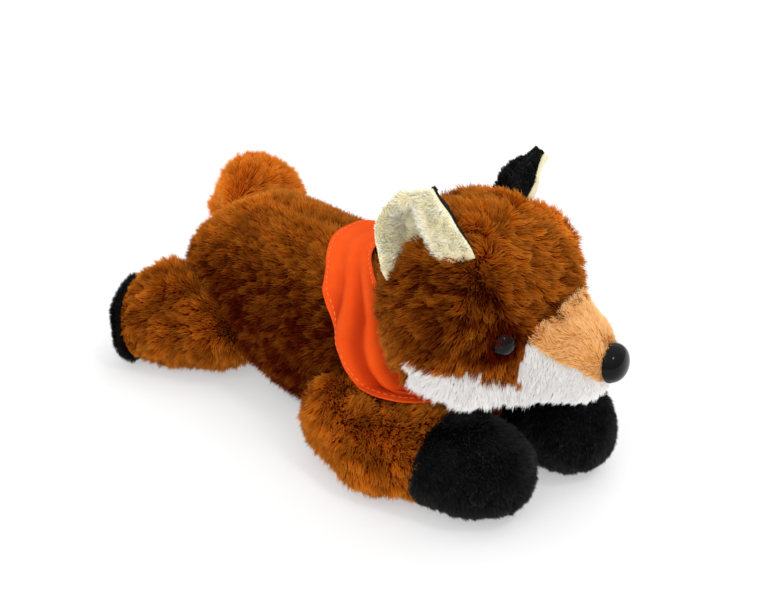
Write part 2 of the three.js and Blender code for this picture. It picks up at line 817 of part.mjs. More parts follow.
function kerchiefPoint(i, j) {
  const round = (2 * i) / kerchiefColumns - 1;
  const [, rearRound, rearUp] = rowAt(kerchiefRearShares, Math.abs(round));
  const [, frontRound, frontUp] = rowAt(kerchiefFrontShares, Math.abs(round));
  const share = j / kerchiefRows;
  const side = round < 0 ? -1 : 1;
  const azimuth = side * Math.PI * (rearRound + (frontRound - rearRound) * share);
  const elevation = (Math.PI / 2) * (rearUp + (frontUp - rearUp) * share);
  const out = new THREE.Vector3(Math.cos(azimuth), Math.sin(azimuth), Math.tan(elevation)).normalize();
  const slope = Math.sqrt(1 - Math.min(out.x, 0) ** 2);
  const torsoAt = (neckPivotX + out.x * (torsoRadius / slope) - torsoBack) / torsoLength;
  const [, wide] = rowAt(torsoShares, torsoAt);
  const fold = kerchiefFold * (1 + Math.sin(foldsRound * azimuth + 2 * Math.PI * foldSlantShare * share));
  const reach = torsoRadius * wide + kerchiefGap + clothThickness / 2 + fold;
  return out.multiplyScalar(reach / slope).add(neckPivot);
}

function kerchiefSheet() {
  const pointAt = (i, j, face) => {
    const before = kerchiefPoint(i - 1, j);
    const after = kerchiefPoint(i + 1, j);
    const rear = kerchiefPoint(i, Math.max(j - 1, 0));
    const front = kerchiefPoint(i, Math.min(j + 1, kerchiefRows));
    const normal = after.sub(before).cross(front.sub(rear)).normalize();
    return kerchiefPoint(i, j).addScaledVector(normal, (face - 0.5) * clothThickness);
  };
  return sheet(pointAt, kerchiefColumns, kerchiefRows, true);
}

piece("kerchief", kerchiefSheet(), kerchiefCloth);

export default fox;
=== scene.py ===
"""Looks of a plush fox that lies on its belly: skins with real pile, ears, kerchief, glossy nose and eyes.

Lengths are in millimetres. Those of strands, tufts and the patterns of materials are in metres.
"""

import json
import math

import bpy
import numpy as np
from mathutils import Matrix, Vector

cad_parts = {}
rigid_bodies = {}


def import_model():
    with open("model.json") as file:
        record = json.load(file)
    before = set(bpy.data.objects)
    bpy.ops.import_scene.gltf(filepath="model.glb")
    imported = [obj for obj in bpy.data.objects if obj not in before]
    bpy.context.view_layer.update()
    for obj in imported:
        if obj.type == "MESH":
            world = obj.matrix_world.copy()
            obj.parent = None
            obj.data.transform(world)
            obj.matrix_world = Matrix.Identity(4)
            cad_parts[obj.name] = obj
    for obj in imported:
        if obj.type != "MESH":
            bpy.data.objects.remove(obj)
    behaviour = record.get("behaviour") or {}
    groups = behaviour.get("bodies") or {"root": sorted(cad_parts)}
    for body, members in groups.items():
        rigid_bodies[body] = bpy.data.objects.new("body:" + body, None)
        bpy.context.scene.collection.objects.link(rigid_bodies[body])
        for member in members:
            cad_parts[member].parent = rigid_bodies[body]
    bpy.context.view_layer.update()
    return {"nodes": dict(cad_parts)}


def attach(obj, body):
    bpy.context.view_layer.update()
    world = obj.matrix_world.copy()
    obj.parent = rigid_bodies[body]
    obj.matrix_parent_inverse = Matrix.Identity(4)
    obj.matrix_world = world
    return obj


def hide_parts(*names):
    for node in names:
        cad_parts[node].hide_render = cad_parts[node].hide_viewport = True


MM = 0.001
UP = np.array([0.0, 0.0, 1.0])

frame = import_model()
scene = bpy.context.scene
scene.view_settings.view_transform = "Standard"


# Nodes and materials.
def linear(code):
    """A colour written as in a picture, 0xRRGGBB, as the shader wants it."""
    parts = [((code >> shift) & 255) / 255 for shift in (16, 8, 0)]
    return tuple(c / 12.92 if c <= 0.04045 else ((c + 0.055) / 1.055) ** 2.4 for c in parts) + (1.0,)


class Nodes:
    """A node tree with a short way to add nodes."""

    def __init__(self, tree):
        self.tree = tree

    def feed(self, socket, value):
        if isinstance(value, Value):
            self.tree.links.new(value.socket, socket)
        else:
            socket.default_value = value

    def node(self, kind, inputs=None, output=0, **settings):
        made = self.tree.nodes.new(kind)
        for name, value in settings.items():
            setattr(made, name, value)
        for name, value in (inputs or {}).items():
            self.feed(made.inputs[name], value)
        return Value(self, made.outputs[output])

    def math(self, operation, *values):
        return self.node("ShaderNodeMath", dict(enumerate(values)), operation=operation)


class Value:
    """A node's output that can be reckoned with."""

    def __init__(self, nodes, socket):
        self.nodes, self.socket = nodes, socket

    def twin(self, output):
        """Another output of the same node."""
        return Value(self.nodes, self.socket.node.outputs[output])

    def math(self, operation, *others):
        return self.nodes.math(operation, self, *others)

    def __add__(self, other):
        return self.math("ADD", other)

    def __mul__(self, other):
        return self.math("MULTIPLY", other)

    def __truediv__(self, other):
        return self.math("DIVIDE", other)

    def __rtruediv__(self, other):
        return self.nodes.math("DIVIDE", other, self)

    def __rsub__(self, other):
        return self.nodes.math("SUBTRACT", other, self)

    __radd__ = __add__
    __rmul__ = __mul__

    def clamped(self, low=0.0, high=1.0):
        return self.math("MAXIMUM", low).math("MINIMUM", high)


class Finish(Nodes):
    """A material and the nodes of its pattern."""

    def __init__(self, name, **numbers):
        self.material = bpy.data.materials.new(name)
        self.material.use_nodes = True
        super().__init__(self.material.node_tree)
        self.shader = self.tree.nodes["Principled BSDF"]
        for socket, value in numbers.items():
            self.give(socket.replace("_", " "), value)

    def give(self, name, value):
        self.feed(self.shader.inputs[name], value)

    def mix(self, share, first, second):
        """Between two colours by a share. A colour is a code or a node's output."""
        first, second = (linear(c) if isinstance(c, int) else c for c in (first, second))
        return self.node("ShaderNodeMix", {0: share, 6: first, 7: second}, 2, data_type="RGBA")

    def ramp(self, value, places, codes):
        made = self.node("ShaderNodeValToRGB", {0: value})
        elements = made.socket.node.color_ramp.elements
        while len(elements) < len(places):
            elements.new(0.5)
        for element, place, code in zip(elements, places, codes):
            element.position = place
            element.color = linear(code)
        return made

    def place(self, scale=(1, 1, 1)):
        """The piece's own coordinates in metres, scaled."""
        own = self.node("ShaderNodeTexCoord", output=3)
        return self.node("ShaderNodeMapping", {"Vector": own, "Scale": scale})

    def noise(self, where, size, detail, distortion=0.0):
        """Cloudy noise with features of a size in metres."""
        inputs = {"Vector": where, "Scale": 1 / size, "Detail": detail, "Roughness": 0.55}
        return self.node("ShaderNodeTexNoise", {**inputs, "Distortion": distortion})

    def bump(self, height, depth, strength):
        inputs = {"Height": height, "Distance": depth, "Strength": strength}
        self.give("Normal", self.node("ShaderNodeBump", inputs))

    def own_map(self):
        """The piece's own map, as its across and its along."""
        across = self.node("ShaderNodeSeparateXYZ", {0: self.node("ShaderNodeUVMap", uv_map="OFBake")})
        return across, across.twin(1)


def pile_finish(name, dark, light, roughness=0.6, specular=0.25):
    """Strands whose colour runs from root to tip, between a dark and a light make."""
    finish = Finish(name, Roughness=roughness, Specular_IOR_Level=specular)
    tone, rise = finish.own_map()
    deep, pale = (finish.ramp(rise, (0.0, 0.3, 0.72, 1.0), codes) for codes in (dark, light))
    finish.give("Base Color", finish.mix(tone, deep, pale))
    return finish.material


BROWN = (0x080000, 0x200000, 0x4A0200, 0x7C1200), (0x8E2A00, 0xD86208, 0xF69222, 0xFEC060)
WHITE = (0xD8D2D0, 0xE8E4E2, 0xF2F0EE, 0xF8F6F4), (0xE8E4E2, 0xF4F2F0, 0xFAF9F7, 0xFEFDFB)
TAN = (0xC07C2C, 0xE09E4C, 0xF2BC72, 0xFACD8C), (0xE0A04C, 0xF8C47A, 0xFFD89E, 0xFFE6BC)
CREAM = (0xECE2B8, 0xFAF2D2, 0xFFFAE0, 0xFFFDEE), (0xF4ECC6, 0xFDF8E0, 0xFFFDEE, 0xFFFFF6)
# The black pile's light make has grey tips, a painted sheen.
BLACK = (0x010101, 0x020202, 0x050505, 0x090909), (0x020202, 0x0A0A0A, 0x202020, 0x545458)
PILES = {
    "brown_plush": pile_finish("brown_pile", *BROWN, specular=0.02),
    "white_plush": pile_finish("white_pile", *WHITE),
    "tan_plush": pile_finish("tan_pile", *TAN),
    "cream_plush": pile_finish("cream_pile", *CREAM),
    "black_plush": pile_finish("black_pile", *BLACK, roughness=0.5),
}


# Small helpers for points.
def unit(v):
    return v / np.maximum(np.linalg.norm(v, axis=-1, keepdims=True), 1e-12)


def lengths(v):
    return np.linalg.norm(v, axis=-1)


def softly(value, low, high):
    """0 below low, 1 above high, smooth between."""
    t = np.clip((value - low) / (high - low), 0, 1)
    return t * t * (3 - 2 * t)


def bell(value, reach):
    """1 at zero, falling off smoothly over a reach."""
    return np.exp(-((value / reach) ** 2))


def waves(points, size, seed):
    """Smooth noise from a few waves, about -1 to 1, with features of a size in millimetres."""
    count = 12
    rng = np.random.default_rng(seed)
    total = np.zeros(len(points))
    for _ in range(count):
        direction = unit(rng.normal(size=3)) * rng.uniform(0.6, 1.4) * 2 * np.pi / size
        total += np.sin(points @ direction + rng.uniform(0, 2 * np.pi))
    return total / math.sqrt(count / 2) * 0.7


def drift(points, size, seed):
    """A direction that wanders smoothly. It uses three seeds, this one and the next two."""
    return np.stack([waves(points, size, s) for s in (seed, seed + 1, seed + 2)], -1)


def row_at(rows, along):
    """Smooth values of a table at places along it, from 0 to 1."""
    rows = np.asarray(rows, float)
    along = np.asarray(along, float)
    last = len(rows) - 1
    i = np.clip(np.searchsorted(rows[1:, 0], along, side="left"), 0, last - 1)
    before, start, end, after = rows[np.maximum(i - 1, 0)], rows[i], rows[i + 1], rows[np.minimum(i + 2, last)]
    span = (end[:, 0] - start[:, 0])[:, None]
    u = np.clip((along - start[:, 0]) / span[:, 0], 0, 1)[:, None]
    with np.errstate(divide="ignore", invalid="ignore"):
        slope_in = np.where((i == 0)[:, None], 0, (end - before) / (end[:, :1] - before[:, :1]) * span)
        slope_out = np.where((i + 2 > last)[:, None], 0, (after - start) / (after[:, :1] - start[:, :1]) * span)
    a = 2 * start - 2 * end + slope_in + slope_out
    b = -3 * start + 3 * end - 2 * slope_in - slope_out
    return (((a * u + b) * u + slope_in) * u + start)[:, 1:]


# Forms and their skins.
class Path:
    """A smooth line through points, measured by its length."""

    def __init__(self, points, steps=60):
        p = np.asarray(points, float)
        p = np.vstack([2 * p[0] - p[1], p, 2 * p[-1] - p[-2]])
        line = []
        for i in range(1, len(p) - 2):
            d0, d1, d2 = (np.linalg.norm(p[i + k] - p[i + k - 1]) ** 0.5 for k in (0, 1, 2))
            m1 = ((p[i] - p[i - 1]) / d0 - (p[i + 1] - p[i - 1]) / (d0 + d1) + (p[i + 1] - p[i]) / d1) * d1
            m2 = ((p[i + 1] - p[i]) / d1 - (p[i + 2] - p[i]) / (d1 + d2) + (p[i + 2] - p[i + 1]) / d2) * d1
            u = np.linspace(0, 1, steps, endpoint=i == len(p) - 3)[:, None]
            a = 2 * p[i] - 2 * p[i + 1] + m1 + m2
            b = -3 * p[i] + 3 * p[i + 1] - 2 * m1 - m2
            line.append(((a * u + b) * u + m1) * u + p[i])
        self.line = np.vstack(line)
        gaps = lengths(np.diff(self.line, axis=0))
        self.reach = np.concatenate([[0], np.cumsum(gaps)])
        self.length = self.reach[-1]

    def point(self, s):
        s = np.clip(s, 0, self.length)
        return np.stack([np.interp(s, self.reach, self.line[:, k]) for k in range(3)], axis=-1)

    def at(self, s):
        """Points at lengths along the line, and the way it runs there."""
        s = np.clip(s, 0, self.length)
        step = self.length * 1e-3
        return self.point(s), unit(self.point(s + step) - self.point(s - step))


class Form:
    """A stuffed form: rings along a path, rounded off at both ends."""

    def __init__(self, points, rows, start_round, end_round, power=2.0, power_below=None, turn=0.0, origin=(0, 0, 0)):
        self.path = Path(points)
        self.rows = rows
        self.rounds = (start_round, end_round)
        self.powers = (power, power_below or power)
        self.turn = math.radians(turn)
        self.origin = np.asarray(origin, float)

    def to_toy(self, v, is_point=True):
        c, s = math.cos(self.turn), math.sin(self.turn)
        x, y, z = v[..., 0], v[..., 1], v[..., 2]
        turned = np.stack([c * x - s * y, s * x + c * y, z], axis=-1)
        return turned + self.origin if is_point else turned

    def to_own(self, v):
        c, s = math.cos(self.turn), math.sin(self.turn)
        d = np.asarray(v, float) - self.origin
        return np.stack([c * d[..., 0] + s * d[..., 1], -s * d[..., 0] + c * d[..., 1], d[..., 2]], axis=-1)

    def sizes(self, s):
        """Half the width, and the heights above and below the path, at lengths along it."""
        wide, top, bottom = row_at(self.rows, s / self.path.length).T
        start = np.clip(s / self.rounds[0], 0, 1)
        end = np.clip((self.path.length - s) / self.rounds[1], 0, 1)
        taper = np.sqrt(np.clip(1 - (1 - start) ** 2, 0, 1) * np.clip(1 - (1 - end) ** 2, 0, 1))
        return wide * taper, top * taper, bottom * taper

    def frames(self, s):
        """Points on the path, and the ways ahead, aside and above there."""
        centre, ahead = self.path.at(s)
        aside = unit(np.cross(UP, ahead))
        return centre, ahead, aside, np.cross(ahead, aside)

    def inside(self, points, margin):
        """True where a point lies inside a straight form that isn't turned, drawn in by a margin."""
        start, end = self.path.at(np.array([0.0, self.path.length]))[0]
        s = (points - start) @ unit(end - start)
        centre, _, aside, above = self.frames(s)
        wide, top, bottom = self.sizes(np.clip(s, 1e-6, self.path.length - 1e-6))
        y = ((points - centre) * aside).sum(-1)
        z = ((points - centre) * above).sum(-1)
        high = np.where(z > 0, top, bottom) - margin
        power = np.where(z > 0, *self.powers)
        wide = wide - margin
        ok = (wide > 0) & (high > 0) & (s > margin) & (s < self.path.length - margin)
        share = (np.abs(y) / np.maximum(wide, 1e-6)) ** power + (np.abs(z) / np.maximum(high, 1e-6)) ** power
        return ok & (share < 1)

    def grid(self, rings, sides):
        """A skin of rings, closed by a point at each end."""
        e = np.arange(1, rings) / rings
        s = self.path.length * (e + 2 * (1 - np.cos(np.pi * e)) / 2) / 3
        angle = 2 * np.pi * np.arange(sides) / sides
        centre, ahead, aside, above = self.frames(s)
        wide, top, bottom = self.sizes(s)
        c, n = np.cos(angle), np.sin(angle)
        bend = 2 / np.where(n > 0, *self.powers)
        y = np.sign(c) * np.abs(c) ** bend * wide[:, None]
        z = np.sign(n) * np.abs(n) ** bend * np.where(n > 0, top[:, None], bottom[:, None])
        rows = centre[:, None] + y[..., None] * aside[:, None] + z[..., None] * above[:, None]
        ends = self.path.at(np.array([0.0, self.path.length]))
        points = np.vstack([ends[0][:1], rows.reshape(-1, 3), ends[0][1:]])
        along = np.concatenate([[0], np.repeat(s, sides), [self.path.length]]) / self.path.length
        ahead = np.vstack([ends[1][:1], np.repeat(ahead, sides, axis=0), ends[1][1:]])
        return Skin(self.to_toy(points), ring_faces(rings, sides), along, self.to_toy(ahead, False))


def ring_faces(rings, sides):
    """Faces of a closed grid of rings with a point at each end, facing out."""
    last = 1 + (rings - 1) * sides
    faces = []
    for k in range(sides):
        n = (k + 1) % sides
        faces.append((0, 1 + n, 1 + k))
        for low in range(1, 1 + (rings - 2) * sides, sides):
            faces.append((low + k, low + n, low + sides + n, low + sides + k))
        faces.append((last, last - sides + k, last - sides + n))
    return faces


def sheet_faces(rows, count, closed=False):
    """Faces between rows of so many points each. A closed sheet runs round."""
    faces = []
    for low in range(0, rows * count, count):
        for a in range(count if closed else count - 1):
            b = (a + 1) % count
            faces.append((low + a, low + b, low + count + b, low + count + a))
    return faces


def normals_of(points, faces):
    total = np.zeros_like(points)
    for size in (3, 4):
        some = np.array([f for f in faces if len(f) == size], int)
        if not len(some):
            continue
        p = points[some]
        if size == 4:
            across = np.cross(p[:, 2] - p[:, 0], p[:, 3] - p[:, 1])
        else:
            across = np.cross(p[:, 1] - p[:, 0], p[:, 2] - p[:, 0])
        for k in range(size):
            np.add.at(total, some[:, k], across)
    return unit(total)


def facing(points, faces, at, direction):
    """The faces, turned over if one point's normal looks against a direction."""
    if normals_of(points, faces)[at] @ direction < 0:
        return [tuple(reversed(f)) for f in faces]
    return faces


class Skin:
    """Points of a surface, its faces, how far along its form each point is, and the way the form runs there."""

    def __init__(self, points, faces, along, ahead, normals=None):
        self.points, self.faces, self.along, self.ahead = points, faces, along, ahead
        self.normals = normals_of(points, faces) if normals is None else normals

    def moved(self, points):
        return Skin(points, self.faces, self.along, self.ahead)

    def raised(self, height):
        return self.moved(self.points + self.normals * np.reshape(height, (-1, 1) if np.ndim(height) else ()))

    def part(self, keep):
        """The faces for which keep is true, with their points."""
        faces = [f for f, k in zip(self.faces, keep) if k]
        used = sorted({i for f in faces for i in f})
        new = {old: at for at, old in enumerate(used)}
        faces = [tuple(new[i] for i in f) for f in faces]
        return Skin(self.points[used], faces, self.along[used], self.ahead[used], self.normals[used])

    def face_middles(self):
        return np.array([self.points[list(f)].mean(axis=0) for f in self.faces])


def swollen(skin, spots, places=None):
    """A skin pushed out round some spots. Each has a middle, a reach along x, y and z, and a height."""
    places = skin.points if places is None else places
    return skin.raised(sum(h * np.exp(-(((places - np.array(m)) / np.array(r)) ** 2).sum(-1)) for m, r, h in spots))


def combed(skin, flow, lean):
    """The way the strands point: out of the skin, leaning along a flow by a share."""
    along = flow - skin.normals * (flow * skin.normals).sum(-1, keepdims=True)
    lean = np.reshape(lean, (-1, 1) if np.ndim(lean) else ())
    return unit(skin.normals * (1 - lean) + unit(along) * lean)


def walled(skin, wall):
    """A skin with a wall behind it, closed along its edges. The first points are the outer ones."""
    count = len(skin.points)
    faces = list(skin.faces)
    edges = {}
    for f in skin.faces:
        faces.append(tuple(count + i for i in reversed(f)))
        for a, b in zip(f, f[1:] + f[:1]):
            edges[(a, b)] = True
    for a, b in edges:
        if (b, a) not in edges:
            faces.append((b, a, count + a, count + b))
    return np.vstack([skin.points, skin.points - skin.normals * wall]), faces


def mesh_object(name, points, faces, material=None):
    mesh = bpy.data.meshes.new(name)
    mesh.from_pydata((np.asarray(points) * MM).tolist(), [], [list(f) for f in faces])
    mesh.validate()
    mesh.polygons.foreach_set("use_smooth", np.ones(len(mesh.polygons), bool))
    if material:
        mesh.materials.append(material)
    made = bpy.data.objects.new(name, mesh)
    scene.collection.objects.link(made)
    return made


def wear(made, body, node):
    """Puts a piece on its body in place of a CAD node."""
    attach(made, body)
    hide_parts(node)


# Pile. What the two kinds say is in the order of the tree's inputs.
PILE_INPUTS = "strands", "radius", "tuft", "gather", "shorter", "stray", "uneven", "tuft_tone", "strand_tone"
LONG = dict(zip(PILE_INPUTS, (4.4e6, 0.00023, 0.0028, 0.6, 0.6, 0.25, 0.3, 0.17, 0.14)))
SHORT = dict(zip(PILE_INPUTS, (5.0e6, 0.00019, 0.002, 0.4, 0.25, 0.2, 0.3, 0.15, 0.2)))
PILE_DEPTH = 3.4
FLOOR_REST = 0.25


class Tree(Nodes):
    """A Geometry Nodes tree."""

    def __init__(self, name):
        super().__init__(bpy.data.node_groups.new(name, "GeometryNodeTree"))
        self.ids = {}
        for way in ("INPUT", "OUTPUT"):
            self.tree.interface.new_socket("Geometry", in_out=way, socket_type="NodeSocketGeometry")
        self.start = self.tree.nodes.new("NodeGroupInput")
        self.end = self.tree.nodes.new("NodeGroupOutput")

    def input(self, name, kind="Float"):
        made = self.tree.interface.new_socket(name, in_out="INPUT", socket_type="NodeSocket" + kind)
        self.ids[name] = made.identifier
        return Value(self, self.start.outputs[name])

    def vector(self, operation, inputs, output=0):
        return self.node("ShaderNodeVectorMath", inputs, output, operation=operation)

    def attribute(self, name, kind="FLOAT"):
        return self.node("GeometryNodeInputNamedAttribute", {"Name": name}, data_type=kind)

    def store(self, geometry, name, value, kind="FLOAT", domain="POINT"):
        inputs = {"Geometry": geometry, "Name": name, "Value": value}
        return self.node("GeometryNodeStoreNamedAttribute", inputs, data_type=kind, domain=domain)

    def spread(self, method, inputs):
        """Points spread over a skin."""
        return self.node("GeometryNodeDistributePointsOnFaces", inputs, distribute_method=method)

    def random(self, low, high, seed, kind="FLOAT", by=None):
        """A random value between two, one for each point or for each value of by."""
        made = self.node("FunctionNodeRandomValue", data_type=kind).socket.node
        sockets = [s for s in made.inputs if s.enabled]
        for socket, value in zip(sockets, (low, high, by, seed)):
            if value is not None:
                self.feed(socket, value)
        return Value(self, next(s for s in made.outputs if s.enabled))


def make_pile_tree():
    """Strands on a skin. They stand along its nap and gather in tufts; the skin's pile says how long they are."""
    t = Tree("pile")
    strands, radius, tuft, gather, shorter, stray, uneven, tuft_tone, strand_tone = map(t.input, PILE_INPUTS)
    seed, material = t.input("seed", "Int"), t.input("material", "Material")
    skin = Value(t, t.start.outputs["Geometry"])
    cover, pile = t.attribute("cover"), t.attribute("pile")

    points = t.spread("RANDOM", {"Mesh": skin, "Density": strands * cover, "Seed": seed})
    normal = points.twin("Normal")
    # The centres of the tufts, and how far off the nearest is. Each draw has a seed of its own.
    least, most = tuft * 0.75, 1.3 / (tuft * tuft)
    sparse = {"Mesh": skin, "Distance Min": least, "Density Max": most, "Density Factor": cover}
    centres = t.spread("POISSON", {**sparse, "Seed": seed + 3})
    place = t.node("GeometryNodeInputPosition")
    nearest = t.node("GeometryNodeSampleNearest", {"Geometry": centres, "Sample Position": place})
    at_centre = {"Geometry": centres, "Value": place, "Index": nearest}
    middle = t.node("GeometryNodeSampleIndex", at_centre, data_type="FLOAT_VECTOR")
    inward = t.vector("SUBTRACT", {0: middle, 1: place})
    off = t.vector("LENGTH", {0: inward}, 1) / tuft

    gathered = t.vector("SCALE", {0: inward, "Scale": gather / pile})
    loose = t.random((-1, -1, -1), (1, 1, 1), seed, "FLOAT_VECTOR")
    loose = t.vector("SCALE", {0: loose, "Scale": stray})
    lie = t.vector("ADD", {0: gathered, 1: loose})
    lie = t.vector("ADD", {0: t.attribute("nap", "FLOAT_VECTOR"), 1: lie})
    shade = t.random(-1.0, 1.0, seed + 5, by=nearest) * tuft_tone
    fleck = t.random(-1.0, 1.0, seed + 6) * strand_tone
    reach = pile * t.random(1.0 - uneven, 1.0, seed + 7) * t.random(0.85, 1.0, seed + 8, by=nearest)
    for name, value, kind in (
        ("lie", t.vector("NORMALIZE", {0: lie}), "FLOAT_VECTOR"),
        ("outward", normal, "FLOAT_VECTOR"),
        ("reach", reach * (1.0 - shorter * off), "FLOAT"),
        ("tone", t.attribute("tone") + (shade + fleck), "FLOAT"),
    ):
        points = t.store(points, name, value, kind)

    # A strand is a cone with three sides. It keeps where on it a corner is, for the map.
    cone = {"Vertices": 3, "Side Segments": 1, "Radius Top": 0.0, "Radius Bottom": 1.0, "Depth": 1.0}
    strand = t.node("GeometryNodeMeshCone", cone, fill_type="NGON")
    x = t.node("ShaderNodeSeparateXYZ", {0: place})
    y, z = x.twin(1), x.twin(2)
    for name, value in (("edge", x + y * 0.5), ("rim", y), ("rise", z)):
        strand = t.store(strand, name, value)

    turned = t.node("FunctionNodeAlignRotationToVector", {"Vector": t.attribute("lie", "FLOAT_VECTOR")}, axis="Z")
    rolled = {"Rotation": turned, "Vector": t.attribute("outward", "FLOAT_VECTOR")}
    turned = t.node("FunctionNodeAlignRotationToVector", rolled, axis="X", pivot_axis="Z")
    size = t.node("ShaderNodeCombineXYZ", {0: radius, 1: radius, 2: t.attribute("reach")})
    each = {"Points": points, "Instance": strand, "Rotation": turned, "Scale": size}
    made = t.node("GeometryNodeRealizeInstances", {"Geometry": t.node("GeometryNodeInstanceOnPoints", each)})
    across = t.attribute("edge") * 0.008 + t.attribute("tone").clamped(0.02, 0.98)
    along = t.attribute("rim") * 0.006 + (t.attribute("rise") * 0.95 + 0.02)
    on_map = t.node("ShaderNodeCombineXYZ", {0: across, 1: along})
    made = t.store(made, "OFBake", on_map, "FLOAT2", "CORNER")
    joined = t.node("GeometryNodeJoinGeometry", {0: made})
    t.feed(joined.socket.node.inputs[0], skin)
    t.feed(t.end.inputs[0], t.node("GeometryNodeSetMaterial", {"Geometry": joined, "Material": material}))
    return t


pile_tree = make_pile_tree()


def add_map(mesh):
    """A small patch of the map for each face of a backing, at the root end."""
    tone, root, size = 0.12, 0.01, 0.02
    layer = mesh.uv_layers.new(name="OFBake")
    starts = np.zeros(len(mesh.polygons), int)
    totals = np.zeros(len(mesh.polygons), int)
    mesh.polygons.foreach_get("loop_start", starts)
    mesh.polygons.foreach_get("loop_total", totals)
    corner = np.arange(len(mesh.loops)) - np.repeat(starts, totals)
    corners = np.array([(0, 0), (1, 0), (1, 1), (0, 1)], float)[np.minimum(corner, 3)]
    layer.data.foreach_set("uv", (corners * size + (tone, root)).astype(np.float32).ravel())


def plush(name, body, slot, node, skin, flow, lean, pile, tone, cover, kind, seed, wall=1.0, **changes):
    """A piece of plush: the skin with its backing, and strands over it that lean along a flow."""
    made = mesh_object(name, *walled(skin, wall), PILES[slot])
    mesh = made.data
    add_map(mesh)

    def both(values, inner=1, *width):
        """Values for the outer points, and the same times a number for the inner ones."""
        values = np.broadcast_to(values, (len(skin.points), *width))
        return np.concatenate([values, values * inner]).astype(np.float32)

    for field, values in (("pile", both(np.asarray(pile) * MM)), ("tone", both(tone)), ("cover", both(cover, 0))):
        mesh.attributes.new(field, "FLOAT", "POINT").data.foreach_set("value", values)
    nap = both(combed(skin, flow, lean), 1, 3).ravel()
    mesh.attributes.new("nap", "FLOAT_VECTOR", "POINT").data.foreach_set("vector", nap)

    modifier = made.modifiers.new("pile", "NODES")
    modifier.node_group = pile_tree.tree
    for field, value in {**kind, **changes, "seed": seed, "material": PILES[slot]}.items():
        modifier[pile_tree.ids[field]] = value
    seen = bpy.context.evaluated_depsgraph_get()
    grown = bpy.data.meshes.new_from_object(made.evaluated_get(seen))
    made.modifiers.remove(modifier)
    made.data = grown
    for field in ("pile", "tone", "cover", "nap", "lie", "outward", "reach", "edge", "rim", "rise"):
        if field in grown.attributes:
            grown.attributes.remove(grown.attributes[field])
    # What would pass through the floor lies flat on it.
    place = np.empty(len(grown.vertices) * 3, np.float32)
    grown.vertices.foreach_get("co", place)
    place = place.reshape(-1, 3)
    low, spread = FLOOR_REST * MM, 0.02
    under = place[:, 2] < low
    place[under, 2] = low + spread * (low - place[under, 2])
    grown.vertices.foreach_set("co", place.ravel())
    grown.update()
    wear(made, body, node)


# The fox's forms. Each row says how far along it is, then the shares of the width and of the heights above and below.
SIDES = {"right": -1, "left": 1}
PIVOT = np.array([36.0, 0.0, 34.0])
TORSO_RADIUS = 34.5
TORSO_START, TORSO_END = -78, 70.5
HEAD_LENGTH, HEAD_WIDTH, HEAD_TOP, HEAD_BOTTOM, HEAD_ASIDE = 83.5, 42.0, 41.5, 21.0, -15.5
torso_rows = [
    [0.0, 0.9, 0.86, 1.0], [0.2, 1.03, 0.99, 1.0], [0.45, 1.03, 1.0, 1.0], [0.7, 1.0, 1.0, 1.0], [1.0, 1.0, 1.0, 1.0]
]
head_rows = [
    [0.0, 0.6, 0.8, 0.3], [0.1, 0.74, 0.86, 0.42], [0.22, 0.9, 0.97, 0.64], [0.36, 1.0, 1.0, 0.86],
    [0.5, 1.01, 0.96, 0.98], [0.6, 0.87, 0.84, 1.0], [0.68, 0.66, 0.64, 0.97], [0.74, 0.51, 0.47, 0.9],
    [0.8, 0.42, 0.38, 0.8], [0.9, 0.31, 0.3, 0.7], [1.0, 0.26, 0.25, 0.6],
]
tail_rows = [
    [0.0, 0.54, 0.54, 0.54], [0.14, 0.58, 0.58, 0.66], [0.32, 0.92, 0.94, 0.9],
    [0.6, 1.0, 1.0, 1.0], [0.85, 0.82, 0.82, 0.82], [1.0, 0.5, 0.5, 0.5],
]


def scaled_rows(rows, wide, top, bottom):
    return [[a, w * wide, t * top, b * bottom] for a, w, t, b in rows]


torso_form = Form(
    [(TORSO_START, 0, 34), (TORSO_END, 0, 34)],
    scaled_rows(torso_rows, TORSO_RADIUS, TORSO_RADIUS, TORSO_RADIUS),
    start_round=28,
    end_round=TORSO_RADIUS,
)
head_form = Form(
    [(0, HEAD_ASIDE, 24), (HEAD_LENGTH / 2, HEAD_ASIDE, 24), (HEAD_LENGTH, HEAD_ASIDE, 19)],
    scaled_rows(head_rows, HEAD_WIDTH, HEAD_TOP, HEAD_BOTTOM),
    start_round=24,
    end_round=9,
    power=2.2,
    power_below=3.4,
    turn=20,
    origin=PIVOT,
)
TAIL_PIVOT = np.array([-70.0, -2.0, 52.0])
tail_line = [(0, 0, 0), (-0.18, 0.26, 0.1), (-0.34, 0.48, 0.02), (-0.52, 0.68, -0.14), (-0.66, 0.84, -0.28)]
tail_form = Form([TAIL_PIVOT + 60 * np.array(s) for s in tail_line], scaled_rows(tail_rows, 16, 16, 16), 16, 16)


def limb(start, end, before, after, rows_of, start_round, end_round):
    a, b = np.asarray(start, float), np.asarray(end, float)
    ahead = unit(b - a)
    a, b = a - ahead * before, b + ahead * after
    return Form([a, b], rows_of(np.linalg.norm(b - a)), start_round, end_round)


def paw_place(side):
    return np.array([92.0, side * 21.6, 16.75])


def sole_place(side):
    return np.array([-84.0, side * 50, 15.3])


def foreleg_form(side):
    def rows(length):
        wrist = 1 - 20 / length
        h = 17.25
        places = ((0, 18), (18 / length, 18), ((wrist + 18 / length) / 2, 19), (wrist, 20), (1, 20))
        return [[at, wide, h, h] for at, wide in places]

    return limb((36, side * 31, 16.75), paw_place(side), 18, 20, rows, 18, 20)


def hind_leg_form(side):
    def rows(length):
        hip = 20 / length
        return [[0, 20, 20, 20], [hip, 20, 20, 20], [(hip + 1) / 2, 19, 23, 19], [1, 15.8, 15.8, 15.8]]

    return limb((-46, side * 27, 19.5), sole_place(side), 20, 0, rows, 20, 6)


